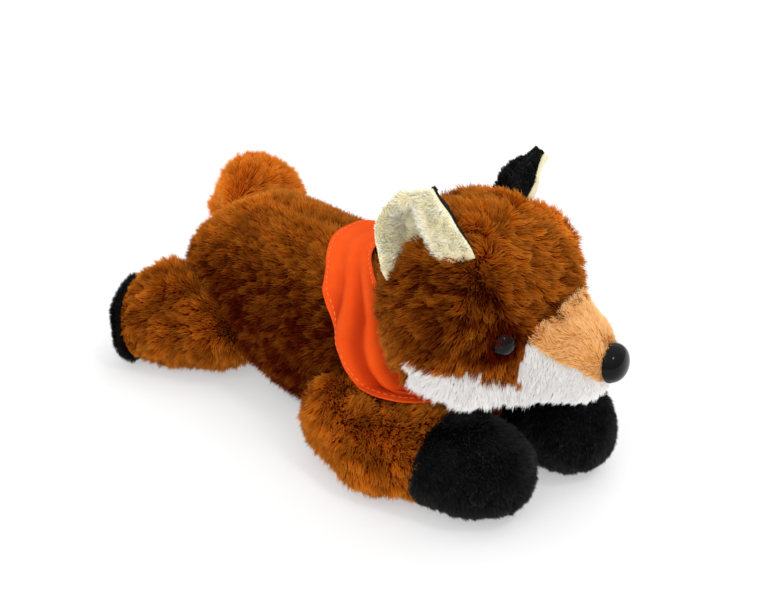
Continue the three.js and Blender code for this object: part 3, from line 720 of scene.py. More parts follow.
forelegs = {word: foreleg_form(side) for word, side in SIDES.items()}
hind_legs = {word: hind_leg_form(side) for word, side in SIDES.items()}


def hidden(points, *forms, margin):
    """True where any of these forms covers a point."""
    covered = np.zeros(len(points), bool)
    for form in forms:
        covered |= form.inside(points, margin)
    return covered


def parted(skin, at, ahead):
    """The skin behind a plane and the one beyond it, each with a cover that is bare inside the torso."""
    beyond = (skin.face_middles() - at) @ ahead > 0
    parts = skin.part(~beyond), skin.part(beyond)
    return [(part, np.where(hidden(part.points, torso_form, margin=4.0), 0.0, 1.0)) for part in parts]


def bowled(points, radius):
    """Points pushed out of the ball in which the head turns on the torso."""
    out = points - PIVOT
    far = np.linalg.norm(out, axis=1, keepdims=True)
    return np.where(far < radius, PIVOT + out / np.maximum(far, 1e-6) * radius, points)


# The kerchief's edges from nape to chin: how far round it they are, and how high, in half turns and quarter turns.
kerchief_rear = [
    (0.0, 1.0, 0.533), (0.2, 0.75, 0.489), (0.4, 0.594, 0.361), (0.6, 0.461, 0.144),
    (0.7, 0.389, 0.02), (0.85, 0.256, -0.11), (1.0, 0.0, -0.14),
]
kerchief_front = [
    (0.0, 1.0, 0.778), (0.2, 0.611, 0.733), (0.4, 0.389, 0.578), (0.6, 0.278, 0.333),
    (0.7, 0.233, 0.189), (0.85, 0.144, 0.122), (1.0, 0.0, 0.111),
]


def under_kerchief(points):
    """True where a point of the torso lies well inside the kerchief's edges."""
    out = unit(points - PIVOT)
    azimuth = np.arctan2(out[:, 1], out[:, 0]) / np.pi
    elevation = np.arctan2(out[:, 2], np.hypot(out[:, 0], out[:, 1])) / np.pi * 2
    held = np.zeros(len(points), bool)
    reach, last_turn, turns, farthest = 0.02, 0.97, 98, 50
    for turn in np.linspace(-last_turn, last_turn, turns):
        rear, front = (row_at(edge, np.array([abs(turn)]))[0] for edge in (kerchief_rear, kerchief_front))
        for share in (0.25, 0.4, 0.5, 0.6, 0.75):
            a, e = rear[:2] + (front[:2] - rear[:2]) * share
            a = math.copysign(a, turn)
            near = ((azimuth - a) * np.cos(e * np.pi / 2)) ** 2 + ((elevation - e) / 2) ** 2
            held |= near < reach**2
    return held & (lengths(points - PIVOT) < farthest)


# Torso.
SEAM_Y, SEAM_LOW = -1.0, 40
NECK_RADIUS, BARE_NECK = 36, 27


def torso():
    raw = torso_form.grid(84, 120)
    # The flank hangs a little over the floor, and the rump stands out beside the hip.
    raw = swollen(raw, [((0, side * 31, 9), (26, 16, 12), 6.0) for side in (-1, 1)])
    raw = swollen(raw, [((-60, side * 26, 50), (18, 14, 14), 3.0) for side in (-1, 1)])
    x, y, z = raw.points.T
    seam = bell(y - SEAM_Y, 2.2) * (z > SEAM_LOW) * softly(40 - x, 0, 20)
    skin = raw.raised(0.7 * waves(raw.points, 26, 3) - 1.4 * seam).raised(-PILE_DEPTH)
    middles = skin.face_middles()
    belly = (np.abs(middles[:, 0] + 6) < 42) & (np.abs(middles[:, 1]) < 20) & (middles[:, 2] < 12)
    for keep in (~belly, belly):
        part = skin.part(keep)
        points = part.points
        x, y, z = points.T
        covered = hidden(points, *forelegs.values(), *hind_legs.values(), margin=3.0)
        # It is bare under the legs, the head and the kerchief, and short round the bare place under the head.
        neck = lengths(points - PIVOT) < NECK_RADIUS
        head_side = (points - PIVOT) @ unit(np.array([0.75, 0.0, 0.55]))
        cover = np.where(covered | (neck & (head_side > BARE_NECK)) | under_kerchief(points), 0.0, 1.0)
        # It is thinner underneath, where the toy lies on it.
        cover = cover * (1 - 0.5 * softly(12 - z, 0, 8))
        flow = -0.55 * part.ahead + np.array([0, 0, -1.0]) + 0.5 * drift(points, 30, 5)
        away = np.sign(y - SEAM_Y)[:, None] * np.array([0, 1.0, 0])
        flow = flow + 1.5 * away * (bell(y - SEAM_Y, 6)[:, None] * (points[:, 2:] > SEAM_LOW))
        lean = 0.28 + 0.08 * waves(points, 22, 8)
        # Painted light: the pile is lighter toward the top of the torso, where the light from above falls.
        tone = 0.03 + 0.06 * waves(points, 16, 9) + 0.48 * softly(z, 44, 64)
        tone = tone + 0.35 * bell(y - SEAM_Y, 1.5) * (z > SEAM_LOW)
        tone = tone + 0.26 * softly(-x, 30, 66)
        length = (5.6 + 0.5 * waves(points, 18, 10)) * (1 - 0.5 * neck * softly(head_side, 8, 18))
        if keep is belly:
            names = "belly_plush", "torso", "white_plush", "belly_panel"
            plush(*names, part, flow, lean, length * 0.7, tone, cover * 0.6, LONG, 12)
        else:
            names = "torso_plush", "torso", "brown_plush", "torso_skin"
            changes = {"strands": 3.9e6, "tuft": 0.0024, "stray": 0.35}
            plush(*names, part, flow, lean, length, tone, cover, LONG, 11, **changes)


torso()


# Head. Its seams are drawn in the side view, as shares of its length and height.
cheek_seam = [(0.29, -1.0), (0.3, 0.54), (0.34, 0.6), (0.5, 0.58), (0.63, 0.52), (0.72, 0.36), (0.74, 0.76)]
brow_seam = [(0.78, 0.88), (0.8, 0.9), (0.86, 1.6)]
lip_seam = [(0.84, 0.56), (0.95, 0.42), (1.0, 0.34)]
# The brow seam of one side, from the front of the ear to the eye: ahead, out from the middle, up.
brow_path = Path([(41.0, 24.0, 59.5), (48.4, 25.8, 54.1), (54.3, 23.4, 49.3), (57.6, 22.4, 42.7), (60.8, 21, 35.8)])
EYE = (56.2, 28.3, 32.4)
BOWL = 37.5


def polygon_holds(points, outline):
    """True where a point of the plane lies within an outline."""
    x, z = points[:, 0], points[:, 1]
    held = np.zeros(len(points), bool)
    for (x0, z0), (x1, z1) in zip(outline, outline[1:] + outline[:1]):
        crosses = (z0 > z) != (z1 > z)
        at = (x1 - x0) * (z - z0) / (z1 - z0 if z1 != z0 else 1e-9) + x0
        held ^= crosses & (x < at)
    return held


def head_faces(middles):
    """Which faces of the head are brown, white and tan."""
    cheek, brow, lip = ([(a * HEAD_LENGTH, h * HEAD_TOP) for a, h in s] for s in (cheek_seam, brow_seam, lip_seam))
    ahead, above, below = 170, 130, -90
    lip_end = (ahead, 0.34 * HEAD_TOP)
    white_outline = [*cheek, *lip, lip_end, (ahead, below), (0.27 * HEAD_LENGTH, below)]
    tan_outline = [cheek[-1], *brow, (0.86 * HEAD_LENGTH, above), (ahead, above), lip_end, *reversed(lip)]
    white = polygon_holds(middles, white_outline)
    tan = polygon_holds(middles, tan_outline) & ~white
    return ~white & ~tan, white, tan


def from_brow(own):
    """The way from the brow seam to each point, both sides folded onto one."""
    folded = np.stack([own[:, 0], np.abs(own[:, 1] - HEAD_ASIDE), own[:, 2]], -1)
    line = brow_path.line[::6]
    return folded - line[np.argmin(((folded[:, None] - line[None]) ** 2).sum(-1), axis=1)]


def sided(side, ahead, out, up):
    """A direction of the head's frame that turns outward on both sides."""
    return np.stack([ahead + 0 * side, out * side, up + 0 * side], -1)


def head():
    raw = head_form.grid(96, 140)
    own = head_form.to_own(raw.points)
    groove = bell(lengths(from_brow(own)), 2.2)
    # The cheek behind the near ear, the far brow, the crown, the chin and the muzzle stand out.
    spots = [
        ((8, HEAD_ASIDE - 28, 42), (13, 14, 15), 4.6), ((53, HEAD_ASIDE + 30, 47), (21, 18, 20), 5.4),
        ((30, HEAD_ASIDE + 10, 66), (20, 22, 12), 3.2), ((70, HEAD_ASIDE, 3), (18, 14, 9), 3.8),
        ((72, HEAD_ASIDE + 14, 42), (12, 12, 10), 3.0), ((86, HEAD_ASIDE, 6), (9, 12, 8), 4.0),
    ]
    shape = swollen(raw.raised(0.5 * waves(raw.points, 20, 21) - 1.3 * groove), spots, own)
    skin = shape.moved(bowled(shape.raised(-PILE_DEPTH).points, BOWL))
    brown, white, tan = head_faces(head_form.to_own(raw.face_middles())[:, [0, 2]])
    for word, keep in (("head", brown), ("cheek", white), ("muzzle", tan)):
        part = skin.part(keep)
        points = part.points
        own = head_form.to_own(points)
        x, y, z = own.T
        side = np.sign(y - HEAD_ASIDE)
        cover = np.where(lengths(points - PIVOT) < BOWL + 0.6, 0.0, 1.0)
        if word == "head":
            near_eye = np.sqrt((x - EYE[0]) ** 2 + (np.abs(y - HEAD_ASIDE) - EYE[1]) ** 2 + (z - EYE[2]) ** 2)
            # The pile parts along the brow seam: down and back over the cheek, forward over the brow, up on the crown.
            away = from_brow(own)
            reach = lengths(away)
            cheekward = softly(away[:, 1] - 0.4 * away[:, 2], -2, 2)[:, None]
            ahead = softly(x, 34, 58)[:, None]
            brow = ahead * np.array([0.9, 0, -0.2]) + (1 - ahead) * np.array([-0.35, 0, 0.45])
            flow = cheekward * sided(side, -0.6, 0.25, -0.7) + (1 - cheekward) * brow
            flow = flow + 0.34 * drift(own, 15, 27)
            # Over the eye the pile hangs down like a lid, and over the dome there is none.
            lid = bell(near_eye, 7.5) * softly(z - EYE[2], -1.5, 2.5)
            flow = flow * (1 - lid[:, None]) + lid[:, None] * sided(side, 0.1, 0.9, -1.2)
            flow = head_form.to_toy(flow, False)
            lean = 0.22 + 0.26 * softly(reach, 1, 6) + 0.06 * waves(points, 16, 22) + 0.14 * lid
            length = (6.2 + 0.5 * waves(points, 14, 23)) * (1 - 0.45 * bell(reach, 1.8))
            length = length - 1.2 * softly(12 - near_eye, 0, 8) + 2.4 * lid
            tone = 0.26 + 0.06 * waves(points, 14, 24) - 0.5 * bell(near_eye - 4, 4)
            # Painted light: the pile is lighter toward the crown and on the far side, where the light falls.
            tone = tone + 0.14 - 0.2 * cheekward[:, 0] + 0.6 * bell(reach, 1.6) + 0.16 * softly(z, 46, 62)
            tone = tone + 0.5 * softly(y - HEAD_ASIDE, 6, 30) + 0.22 * softly(32 - z, 0, 6)
            cover = cover * softly(near_eye + 1.2 * softly(z - EYE[2], 0, 2), 3.6, 4.4)
            names = "head_plush", "head", "brown_plush", "head_skin"
            plush(*names, part, flow, lean, length, tone, cover, LONG, 21)
        elif word == "cheek":
            flow = head_form.to_toy(sided(side, -0.6, 0.1, -1.0), False) + 0.3 * drift(points, 22, 31)
            tone = 0.9 + 0.1 * waves(points, 20, 25)
            names = "cheek_plush", "head", "white_plush", "cheek_and_chin_panel"
            plush(*names, part, flow, 0.5, 5.8 - 2.4 * softly(x, 58, 74), tone, cover, LONG, 22)
        else:
            flow = head_form.to_toy(sided(side, -1.0, 0.35, 0.2), False) + 0.5 * drift(points, 9, 34)
            tone = 0.84 + 0.14 * waves(points, 9, 26)
            # The muzzle's pile is short, so its backing lies further out.
            part.points = points + part.normals * 1.3
            names = "muzzle_plush", "head", "tan_plush", "muzzle_panel"
            plush(*names, part, flow, 0.66, 3.6, tone, cover, SHORT, 23)


head()


# Legs. Each has a brown skin and a black end.
def leg_parts(form, spots, lump, seed, end, back, black_depth):
    """The brown part and the black part with their covers, and the seam between them with the way across it."""
    raw = swollen(form.grid(60, 80), spots)
    raw = raw.raised(lump * waves(raw.points, 18, seed))
    ahead = raw.ahead[0]
    seam = end - ahead * back
    brown = parted(raw.raised(-PILE_DEPTH), seam, ahead)[0]
    black = parted(raw.raised(-black_depth), seam, ahead)[1]
    return *brown, *black, seam, ahead


def foreleg(word, side):
    spots = [((62, side * 47, 8), (22, 14, 14), 9.0), ((108, side * 20, 9), (14, 16, 12), 2.0)]
    sleeve, sleeve_cover, paw, paw_cover, _, _ = leg_parts(
        forelegs[word], spots, 0.4, 41 + side, paw_place(side), back=13, black_depth=2.0
    )
    body = f"foreleg_{word}"
    flow = sleeve.ahead * 0.9 + np.array([0, 0, -0.5]) + 0.5 * drift(sleeve.points, 22, 46)
    tone = 0.62 + 0.1 * waves(sleeve.points, 14, 49)
    names = f"foreleg_plush_{word}", body, "brown_plush", f"foreleg_sleeve_{word}"
    plush(*names, sleeve, flow, 0.5, 6.0, tone, sleeve_cover, LONG, 42)
    flow = paw.ahead * 0.6 + np.array([0, 0, -1.0]) + 0.4 * drift(paw.points, 14, 42)
    # Painted sheen: the paw's strands are pushed toward the black pile's grey tips at random, standing in for the
    # sheen on it.
    tone = 0.5 + 0.12 * waves(paw.points, 16, 45)
    names = f"paw_plush_{word}", body, "black_plush", f"paw_{word}"
    changes = {"strand_tone": 0.42, "tuft": 0.0028, "shorter": 0.5}
    plush(*names, paw, flow, 0.5, 3.6, tone, paw_cover, SHORT, 41, **changes)


def hind_leg(word, side):
    spots = [((-64, side * 34, 36), (18, 14, 12), 5.0)]
    leg, leg_cover, sole, sole_cover, seam, ahead = leg_parts(
        hind_legs[word], spots, 0.5, 51 + side, sole_place(side), back=7.5, black_depth=0.9
    )
    body = f"hind_leg_{word}"
    near_sole = softly((leg.points - seam) @ ahead, -9, -1)
    flow = leg.ahead * (0.7 - 1.5 * near_sole)[:, None] + np.array([0, 0, -0.2])
    flow = flow + 0.5 * drift(leg.points, 20, 56)
    tone = 0.48 + 0.1 * waves(leg.points, 14, 59) + 0.2 * near_sole
    names = f"hind_leg_plush_{word}", body, "brown_plush", f"hind_leg_{word}"
    plush(*names, leg, flow, 0.3, 5.8 - 2.4 * near_sole, tone, leg_cover, LONG, 52)
    names = f"sole_plush_{word}", body, "black_plush", f"sole_{word}"
    plush(*names, sole, sole.points - sole_place(side), 0.3, 3.2, 0.4, sole_cover, SHORT, 51)


for word, side in SIDES.items():
    foreleg(word, side)
    hind_leg(word, side)


# Tail.
def hung(raw):
    """The tail hangs lower and spreads wider than it stands high."""
    across = np.array([0.667, 0.745, 0])
    aside = (raw.points - (-94, 24, 54)) @ across
    slant = np.clip((raw.points[:, 2] - 54) / 9, -1, 1) * 6.5 * softly(-aside, -2, 10)
    spread = (aside * 0.16 + slant)[:, None] * across
    return raw.moved(raw.points + softly(raw.along, 0.15, 0.6)[:, None] * (spread + np.array([-0.6, 0, -5.0])))


def tail():
    tip_share = 0.74
    raw = hung(tail_form.grid(64, 72))
    skin = raw.raised(-(PILE_DEPTH - 1.2 * softly(raw.along, 0.25, 0.5)))
    seam, ahead = tail_form.path.at(np.array([tip_share * tail_form.path.length]))
    pieces = (("tail_plush", "brown_plush", "tail_skin"), ("tail_tip_plush", "white_plush", "tail_tip"))
    for (name, slot, node), (part, cover) in zip(pieces, parted(skin, seam[0], ahead[0])):
        flow = part.ahead + 0.3 * drift(part.points, 20, 61)
        tone = 1.0 + 0.1 * waves(part.points, 14, 64)
        plush(name, "tail", slot, node, part, flow, 0.36, 6.6, tone, cover, LONG, 61)


tail()


# Ears: the middle of the hinge, the ways along it and up, half the width, the cup's depth and the length.
EARS = {
    "right": ((26, -41.6, 54.6), (0.9, 0.2, 0.36), (0.1, -0.2, 1), 15.0, 9.5, 24.6),
    "left": ((33.9, 8.0, 58.4), (0.76, -0.62, 0.1), (0.1, 0.72, 0.75), 9.6, 5.0, 20.2),
}


def head_direction(v):
    return head_form.to_toy(np.asarray(v, float), False)


def ears():
    tip, root, half_gap, rows, columns = 1.4, 3.4, 1.1, 44, 40
    j, i = np.meshgrid(np.arange(rows + 1), np.arange(columns + 1), indexing="ij")
    faces = sheet_faces(rows, columns + 1)
    for word, side in SIDES.items():
        near = word == "right"
        at, along, upward, wide, hollow_depth, ear_length = EARS[word]
        along = unit(np.array(along, float))
        inside = unit(np.cross(np.array(upward, float), along)) * side
        upward = np.cross(along, inside) * side
        v = -root + (ear_length + root) * j.ravel() / rows
        rise = np.clip(v / ear_length, 0, 1)
        across = side * (1 - 2 * i.ravel() / columns)
        if near:
            # A broad ear: its rear edge turns over in a round shoulder, its front edge runs straight to the tip.
            rear = -wide + 4.0 * rise + 11.5 * rise**4
            front = wide + 1.0 - 2.5 * rise
            rim = -3.5 * np.sqrt(rise) * (1 - across) / 2 + 0.5
            flap = softly(across, -0.02, 0.42) + softly(-across, 0.5, 1.0)
        else:
            rear = -0.85 * (wide - tip) * (1 - rise**1.3) - tip + 3.2 * rise * (1 - rise) * np.sin(11 * rise)
            front = 0.5 * (wide - tip) * (1 - rise**1.5) ** 0.9 + tip
            rim = 2.2 * (1 - rise) * (across > 0) - 1.3 * rise
            flap = np.abs(across) ** 2.6
        hollow = 1 - np.clip(flap, 0, 1)
        u = rear + (front - rear) * (across + 1) / 2
        cup = rim - hollow_depth * hollow * (1 - softly(rise, 0.5, 0.95))
        cup = cup + 0.5 * waves(np.stack([across * 12, v, 0 * v], -1), 11, 75)
        for name, slot, lining in (("ear_lining", "cream_plush", True), ("ear_back", "black_plush", False)):
            # The near ear's back stays behind the lining's rear edge, so that the lining shows alone there.
            near_back, far_lining = near and not lining, lining and not near
            tucked = 1.3 * softly(-across, 0.4, 1.0) * near_back
            low = 1.6 * softly(rise, 0.8, 1.0) * near_back * (1 - softly(across, 0.6, 0.9))
            # The far ear's lining rolls out over the front edge.
            rolled = softly(across, 0.4, 1.0) * far_lining * (1 - 0.4 * rise)
            shares = (u + tucked + 1.6 * rolled, cup + 2.0 * rolled, v - tucked * softly(rise, 0.7, 1.0) - low)
            middle = np.array(at, float)
            for share, way in zip(shares, (along, inside, upward)):
                middle = middle + share[:, None] * way
            middle = head_form.to_toy(middle)
            looks = head_direction(inside) * (1 if lining else -1)
            own_faces = facing(middle, faces, len(middle) // 2, looks)
            points = middle + normals_of(middle, own_faces) * half_gap
            to_tip = np.tile(head_direction(upward), (len(points), 1))
            skin = Skin(points, own_faces, rise, to_tip)
            flow = to_tip + 0.4 * drift(points, 8, 71)
            # Painted shade: the lining is darker down in the hollow, toward its root.
            tone = 0.95 + 0.1 * waves(points, 8, 74) - (0.95 * hollow * (1 - rise) if lining else 0.3)
            length = 3.4 if lining else 2.2 - 0.8 * softly(rise, 0.7, 0.95)
            names = f"{name}_plush_{word}", f"ear_{word}", slot, f"{name}_{word}"
            changes = {"radius": 0.00024, "tuft": 0.0022, "gather": 0.55, "shorter": 0.45, "wall": 0.9}
            plush(*names, skin, flow, 0.36, length, tone, softly(v, -0.5, 0.5), SHORT, 70 + side, **changes)


ears()


# Kerchief.
LEG_TOP = 35.0


def cloth_finish():
    finish = Finish("kerchief_cloth", Roughness=0.85, Specular_IOR_Level=0.12)
    across, along = finish.own_map()
    threads, length_share, width_share = 420.0, 2.2, 0.36
    warp = (across * threads * 2 * math.pi * length_share).math("SINE")
    weft = (along * threads * 2 * math.pi * width_share).math("SINE")
    weave = (warp * weft) * 0.5 + 0.5
    cloudy = finish.noise(finish.place(), 0.012, 4)
    slub = finish.noise(finish.place((1, 1, 6)), 0.002, 2)
    base = finish.mix(cloudy, 0xE64406, 0xF8601A)
    base = finish.mix((slub * weave * 0.5).clamped(), base, 0xD03C04)
    # Painted shade: down in the creases the cloth is mixed toward a deeper red, where shade falls.
    folded = finish.node("ShaderNodeAttribute", output=2, attribute_name="crease_shade")
    finish.give("Base Color", finish.mix(folded * 0.75, base, 0xA42202))
    finish.bump(weave * 0.6 + slub * 0.4, 0.00012, 0.6)
    return finish.material


def kerchief_folds(turn, share):
    """How deep the folds are and how high each point lies on them, -1 in a crease and 1 on a ridge."""
    low = softly(np.abs(turn), 0.12, 0.5)
    phase = 2.4 * share + 1.9 * np.abs(turn) + 0.2 * np.sin(8 * turn + 3 * share)
    return low, 1 - 2 * np.abs(np.cos(np.pi * phase)) ** 2.2


def kerchief_points(turn, share):
    """Points of the kerchief: turn is 0 at the nape and 1 or -1 under the chin, share runs from rear to front."""
    rear, front = row_at(kerchief_rear, np.abs(turn)), row_at(kerchief_front, np.abs(turn))
    azimuth = np.where(turn < 0, -1, 1) * np.pi * (rear[:, 0] + (front[:, 0] - rear[:, 0]) * share)
    elevation = np.pi / 2 * (rear[:, 1] + (front[:, 1] - rear[:, 1]) * share)
    out = unit(np.stack([np.cos(azimuth), np.sin(azimuth), np.tan(elevation)], -1))
    slope = np.sqrt(1 - np.minimum(out[:, 0], 0) ** 2)
    at = (PIVOT[0] + out[:, 0] * TORSO_RADIUS / slope - TORSO_START) / (TORSO_END - TORSO_START)
    wide = row_at(torso_rows, np.clip(at, 0, 1))[:, 0]
    # Long folds that run round the neck and crowd together toward the chin.
    low, folds = kerchief_folds(turn, share)
    ripple = waves(np.stack([70 * turn, 9 * share, 0 * turn], -1), 6, 91)
    rise = 1.2 + (0.3 + 1.5 * low) * (1 + folds) + 0.22 * ripple * (0.4 + low)
    hem = np.exp(-((np.minimum(share, 1 - share) / 0.05) ** 4))
    points = out * ((TORSO_RADIUS * wide + rise + 0.3 * hem) / slope)[:, None] + PIVOT
    # Its lower end spreads over the top of the forelegs.
    lack = np.maximum(LEG_TOP + 0.4 * folds - points[:, 2], 0)
    points[:, :2] += unit(out[:, :2]) * lack[:, None] * 0.8
    points[:, 2] += lack
    return points


def stitch(middle, along, outward):
    """A short thread with pointed ends that lies on the cloth."""
    length, radius = 1.5, 0.17
    aside = np.cross(outward, along)
    points = []
    for at, wide, rise in ((-0.5, 0.35, -0.1), (-0.25, 1.0, 0.12), (0.25, 1.0, 0.12), (0.5, 0.35, -0.1)):
        for k in range(5):
            a = 2 * math.pi * k / 5
            spoke = (math.cos(a) * aside + math.sin(a) * outward) * radius * wide
            points.append(middle + along * length * at + outward * rise + spoke)
    faces = [tuple(range(5)), tuple(reversed(range(15, 20)))]
    return points, faces + [(b, a, d, c) for a, b, c, d in sheet_faces(3, 5, closed=True)]


def kerchief_stitching(points, normals, rows):
    """A row of stitches along each edge."""
    thread_points, thread_faces = [], []
    for row in rows:
        line = points[row]
        reach = np.concatenate([[0], np.cumsum(lengths(np.diff(line, axis=0)))])
        for at in np.arange(1.2, reach[-1] - 1.2, 2.5):
            k = int(np.searchsorted(reach, at))
            along = unit(line[k] - line[k - 1])
            outward = unit(normals[row, k])
            more, their = stitch(line[k] + outward * 0.1, along, outward)
            thread_faces += [tuple(i + len(thread_points) for i in f) for f in their]
            thread_points += more
    thread = Finish("orange_thread", Roughness=0.7)
    twist = thread.noise(thread.place((1, 1, 4)), 0.0004, 2)
    thread.give("Base Color", thread.mix(twist, 0xF06A28, 0xFF8E4C))
    thread.bump(twist, 0.00004, 0.5)
    sewn = mesh_object("kerchief_stitching", np.array(thread_points), thread_faces, thread.material)
    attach(sewn, "torso")


def kerchief():
    columns, rows = 360, 48
    i, j = np.meshgrid(np.arange(columns), np.arange(rows + 1), indexing="xy")
    turn = (2 * i / columns - 1).ravel()
    share = (j / rows).ravel()
    points = kerchief_points(turn, share)
    side = columns // 4
    faces = facing(points, sheet_faces(rows, columns, closed=True), side, points[side] - PIVOT)
    skin = Skin(points, faces, share, points)
    made = mesh_object("kerchief_cloth", *walled(skin, 0.6), cloth_finish())
    low, folds = kerchief_folds(turn, share)
    # How much painted shade the cloth gets down in each crease.
    depth = np.clip((0.5 - folds) / 1.5, 0, 1) * (0.15 + 0.85 * low) * softly(np.minimum(share, 1 - share), 0, 0.1)
    made.data.attributes.new("crease_shade", "FLOAT", "POINT").data.foreach_set("value", np.tile(depth, 2).astype(np.float32))
    index = np.empty(len(made.data.loops), int)
    made.data.loops.foreach_get("vertex_index", index)
    u = np.tile(0.02 + 0.96 * np.abs(turn), 2)
    v = np.concatenate([0.02 + 0.4 * share, 0.55 + 0.4 * share])
    layer = made.data.uv_layers.new(name="OFBake")
    layer.data.foreach_set("uv", np.stack([u[index], v[index]], -1).astype(np.float32).ravel())
    wear(made, "torso", "kerchief")
    grid, normals = (values.reshape(rows + 1, columns, 3) for values in (points, skin.normals))
    kerchief_stitching(grid, normals, (3, rows - 3))
    # Its flat size is its own area.
    p = points[np.array(faces)]
    area = sum(lengths(np.cross(p[:, 2] - p[:, 0], p[:, 3] - p[:, 1])) / 2)


kerchief()


# Nose and eyes.
def gloss_finish():
    finish = Finish("black_gloss", Coat_Weight=0.1, Coat_Roughness=0.02, Specular_IOR_Level=0.12)
    where = finish.place()
    grain = finish.noise(where, 0.0008, 2)
    smear = finish.noise(where, 0.004, 3)
    finish.give("Base Color", finish.mix(smear * 0.5, 0x030303, 0x0C0B0C))
    finish.give("Roughness", grain * 0.05 + 0.1)
    finish.bump(grain, 0.00002, 0.25)
    return finish.material


nose_gloss = gloss_finish()


def dome(name, node, at, direction, radius, height, height_share, power):
    """A smooth dome with a rolled edge and a flat back on a shank, along a direction of the head's frame."""
    ahead = unit(np.array(direction, float))
    aside = unit(np.cross(UP, ahead))
    above = np.cross(ahead, aside)
    shank, shank_radius, back, steps, sides = 9.0, 1.6, -0.9, 22, 64
    profile = [(0.0, -shank), (shank_radius, -shank), (shank_radius, back), (radius * 0.9, back), (radius, -0.25)]
    for k in range(steps):
        a = math.pi / 2 * k / steps
        profile.append((radius * math.cos(a) ** power, height * math.sin(a) ** power))
    profile.append((0.0, height))
    points = [(0, 0, profile[0][1])]
    for r, h in profile[1:-1]:
        for k in range(sides):
            a = 2 * math.pi * k / sides
            points.append((r * math.cos(a), r * math.sin(a) * (height_share if h > -1 else 1), h))
    points.append((0, 0, profile[-1][1]))
    p = np.array(points)
    placed = head_form.to_toy(np.array(at, float) + p[:, :1] * aside + p[:, 1:2] * above + p[:, 2:] * ahead)
    faces = facing(placed, ring_faces(len(profile) - 1, sides), -1, head_direction(ahead))
    wear(mesh_object(name, placed, faces, nose_gloss), "head", node)


dome("nose_dome", "nose", (81.5, HEAD_ASIDE, 19.5), (1, 0, 0.16), 8.0, 5.5, height_share=0.8, power=0.9)
for word, side in SIDES.items():
    at, direction = (54.4, HEAD_ASIDE + side * 27.2, 32.2), (0.83, side * 0.55, 0.08)
    dome(f"eye_dome_{word}", f"eye_{word}", at, direction, 4.4, 3.3, height_share=0.9, power=1.0)


# Filling inside the skins.
def filling_finish(name, pale, deep):
    finish = Finish(name, Roughness=0.95, Sheen_Weight=0.3)
    fibres = finish.noise(finish.place((1, 1, 3)), 0.0015, 4, distortion=1.5)
    finish.give("Base Color", finish.mix(finish.noise(finish.place(), 0.01, 3), deep, pale))
    finish.bump(fibres, 0.0006, 0.8)
    return finish.material


fibre = filling_finish("fibre_filling", 0xF2F0EA, 0xDDDAD2)
pouch_cloth = filling_finish("pouch_cloth", 0xCFC8BA, 0xB8B0A0)


def stuffed(name, form, body, node, deep=5.2, bowl=None, shaped=None):
    """Wadding that fills a form to some depth under its surface."""
    skin = form.grid(36, 48)
    if shaped:
        skin = shaped(skin)
    points = skin.raised(0.4 * waves(skin.points, 12, 81)).raised(-deep).points
    if bowl:
        points = bowled(points, bowl)
    wear(mesh_object(name, points, skin.faces, fibre), body, node)


def filling():
    stuffed("torso_wadding", torso_form, "torso", "torso_stuffing", deep=7.2)
    stuffed("head_wadding", head_form, "head", "head_stuffing", deep=9.0, bowl=41.0)
    for word in SIDES:
        stuffed(f"foreleg_wadding_{word}", forelegs[word], f"foreleg_{word}", f"foreleg_stuffing_{word}")
        names = f"hind_leg_{word}", f"hind_leg_stuffing_{word}"
        stuffed(f"hind_leg_wadding_{word}", hind_legs[word], *names, deep=5.4)
    stuffed("tail_wadding", tail_form, "tail", "tail_stuffing", deep=5.4, shaped=hung)

    toward = unit(np.array([0.78, 0, 0.625]))
    skin = Form([PIVOT + 34.6 * toward, PIVOT + 36.4 * toward], [[0, 8, 8, 8], [1, 8, 8, 8]], 1.2, 1.2).grid(8, 32)
    wear(mesh_object("neck_wadding", skin.points, skin.faces, fibre), "neck", "neck_stuffing")

    skin = Form([(-24, 0, 10), (24, 0, 10)], [[0, 16, 4, 4], [0.5, 16, 5, 4], [1, 16, 4, 4]], 12, 12).grid(30, 40)
    made = mesh_object("bean_pouch_cloth", skin.points, skin.faces, pouch_cloth)
    wear(made, "torso", "bean_pouch")

    plastic = Finish("washer_plastic", Roughness=0.45, Specular_IOR_Level=0.4)
    cloudy = plastic.noise(plastic.place(), 0.003, 3)
    plastic.give("Base Color", plastic.mix(cloudy, 0xE8E6DF, 0xD6D3C9))
    plastic.bump(plastic.noise(plastic.place(), 0.0006, 2), 0.00003, 0.4)
    for name in ("nose_washer", "eye_washer_right", "eye_washer_left"):
        node = frame["nodes"][name]
        node.data.materials.clear()
        node.data.materials.append(plastic.material)


filling()


# Floor, light and camera.
def floor():
    far = 9000
    corners = [(-far, -far, 0), (far, -far, 0), (far, far, 0), (-far, far, 0)]
    paper = Finish("floor_paper", Roughness=0.9, Specular_IOR_Level=0.1)
    grain = paper.noise(paper.place(), 0.02, 2)
    paper.give("Base Color", paper.mix(grain, (0.955, 0.955, 0.955, 1), (0.965, 0.965, 0.965, 1)))
    # Part of the white that is seen is the paper's own, so that the shadow on it stays pale.
    rays = paper.node("ShaderNodeLightPath")
    seen = ((rays + rays.twin("Is Glossy Ray") + rays.twin("Is Transmission Ray")) * 0.4).clamped(0.0, 0.4)
    own_white = paper.node("ShaderNodeEmission", {"Color": (1, 1, 1, 1), "Strength": 1.0})
    mixed = {0: seen, 1: Value(paper, paper.shader.outputs[0]), 2: own_white}
    paper.feed(paper.tree.nodes["Material Output"].inputs[0], paper.node("ShaderNodeMixShader", mixed))
    mesh_object("floor", corners, [(0, 1, 2, 3)], paper.material)


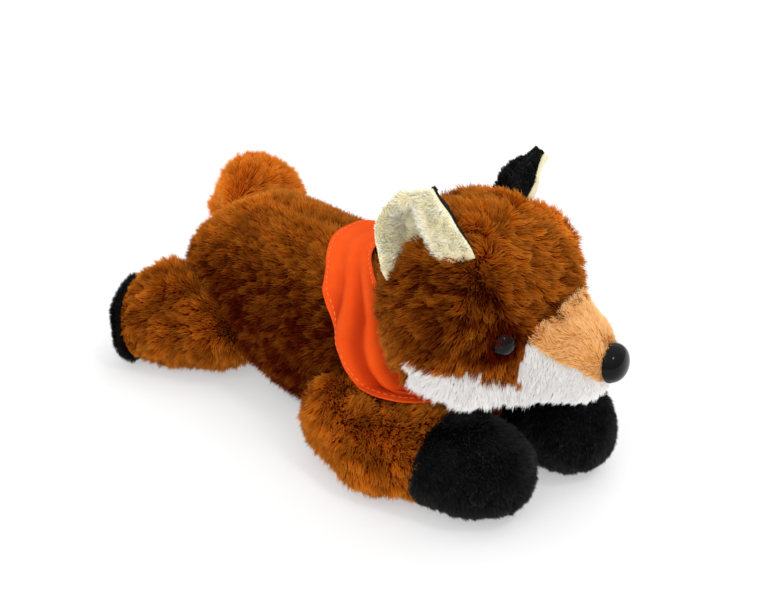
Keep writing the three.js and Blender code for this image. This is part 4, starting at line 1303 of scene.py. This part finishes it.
def sky():
    """White, brighter overhead than at the horizon, and fully white where the camera sees it past the floor."""
    world = bpy.data.worlds.new("studio")
    scene.world = world
    world.use_nodes = True
    nodes = Nodes(world.node_tree)
    background = nodes.tree.nodes["Background"].inputs
    height = nodes.node("ShaderNodeSeparateXYZ", {0: nodes.node("ShaderNodeTexCoord", output="Generated")}, 2)
    ends = {"Value": height, "From Min": 0.0, "From Max": 1.0, "To Min": 0.45, "To Max": 0.98}
    strength = nodes.node("ShaderNodeMapRange", ends)
    rays = nodes.node("ShaderNodeLightPath", output="Is Camera Ray")
    nodes.feed(background["Strength"], nodes.node("ShaderNodeMix", {0: rays, 2: strength, 3: 1.0}))
    background["Color"].default_value = (1.0, 1.0, 1.0, 1)


def aim(made, toward, track):
    """Turns a lamp or the camera so that one of its own axes points along a direction."""
    made.rotation_mode = "QUATERNION"
    made.rotation_quaternion = toward.to_track_quat(track, "Y")


def sun(name, power, spread, azimuth, elevation, mirrored=False):
    lamp = bpy.data.lights.new(name, "SUN")
    lamp.energy = power
    lamp.angle = math.radians(spread)
    made = bpy.data.objects.new(name, lamp)
    scene.collection.objects.link(made)
    made.visible_glossy = mirrored
    a, e = math.radians(azimuth), math.radians(elevation)
    aim(made, Vector((math.cos(a) * math.cos(e), math.sin(a) * math.cos(e), math.sin(e))), "Z")


def camera():
    """It looks at a point of the fox from a distance, both in metres."""
    looked_at, distance, azimuth, elevation = Vector((0.019668, 0, 0.042422)), 0.499743, 48.209, 25.982
    focal_pixels, picture_width, sensor = 1342, 760, 36
    made = bpy.data.objects.new("camera", bpy.data.cameras.new("camera"))
    scene.collection.objects.link(made)
    scene.camera = made
    made.data.sensor_width = sensor
    made.data.sensor_fit = "HORIZONTAL"
    made.data.lens = focal_pixels / picture_width * sensor
    made.data.clip_start = 0.01
    made.data.clip_end = 30
    a, e = math.radians(azimuth), math.radians(elevation)
    back = Vector((math.sin(a) * math.cos(e), -math.cos(a) * math.cos(e), math.sin(e)))
    made.location = looked_at + back * distance
    aim(made, -back, "-Z")


floor()
sky()
sun("overhead", 0.6, 50, 100, 62)
sun("fill", 1.2, 60, -56, 28)
sun("window", 0.42, 9, 8, 60, mirrored=True)
camera()
bpy.context.view_layer.update()
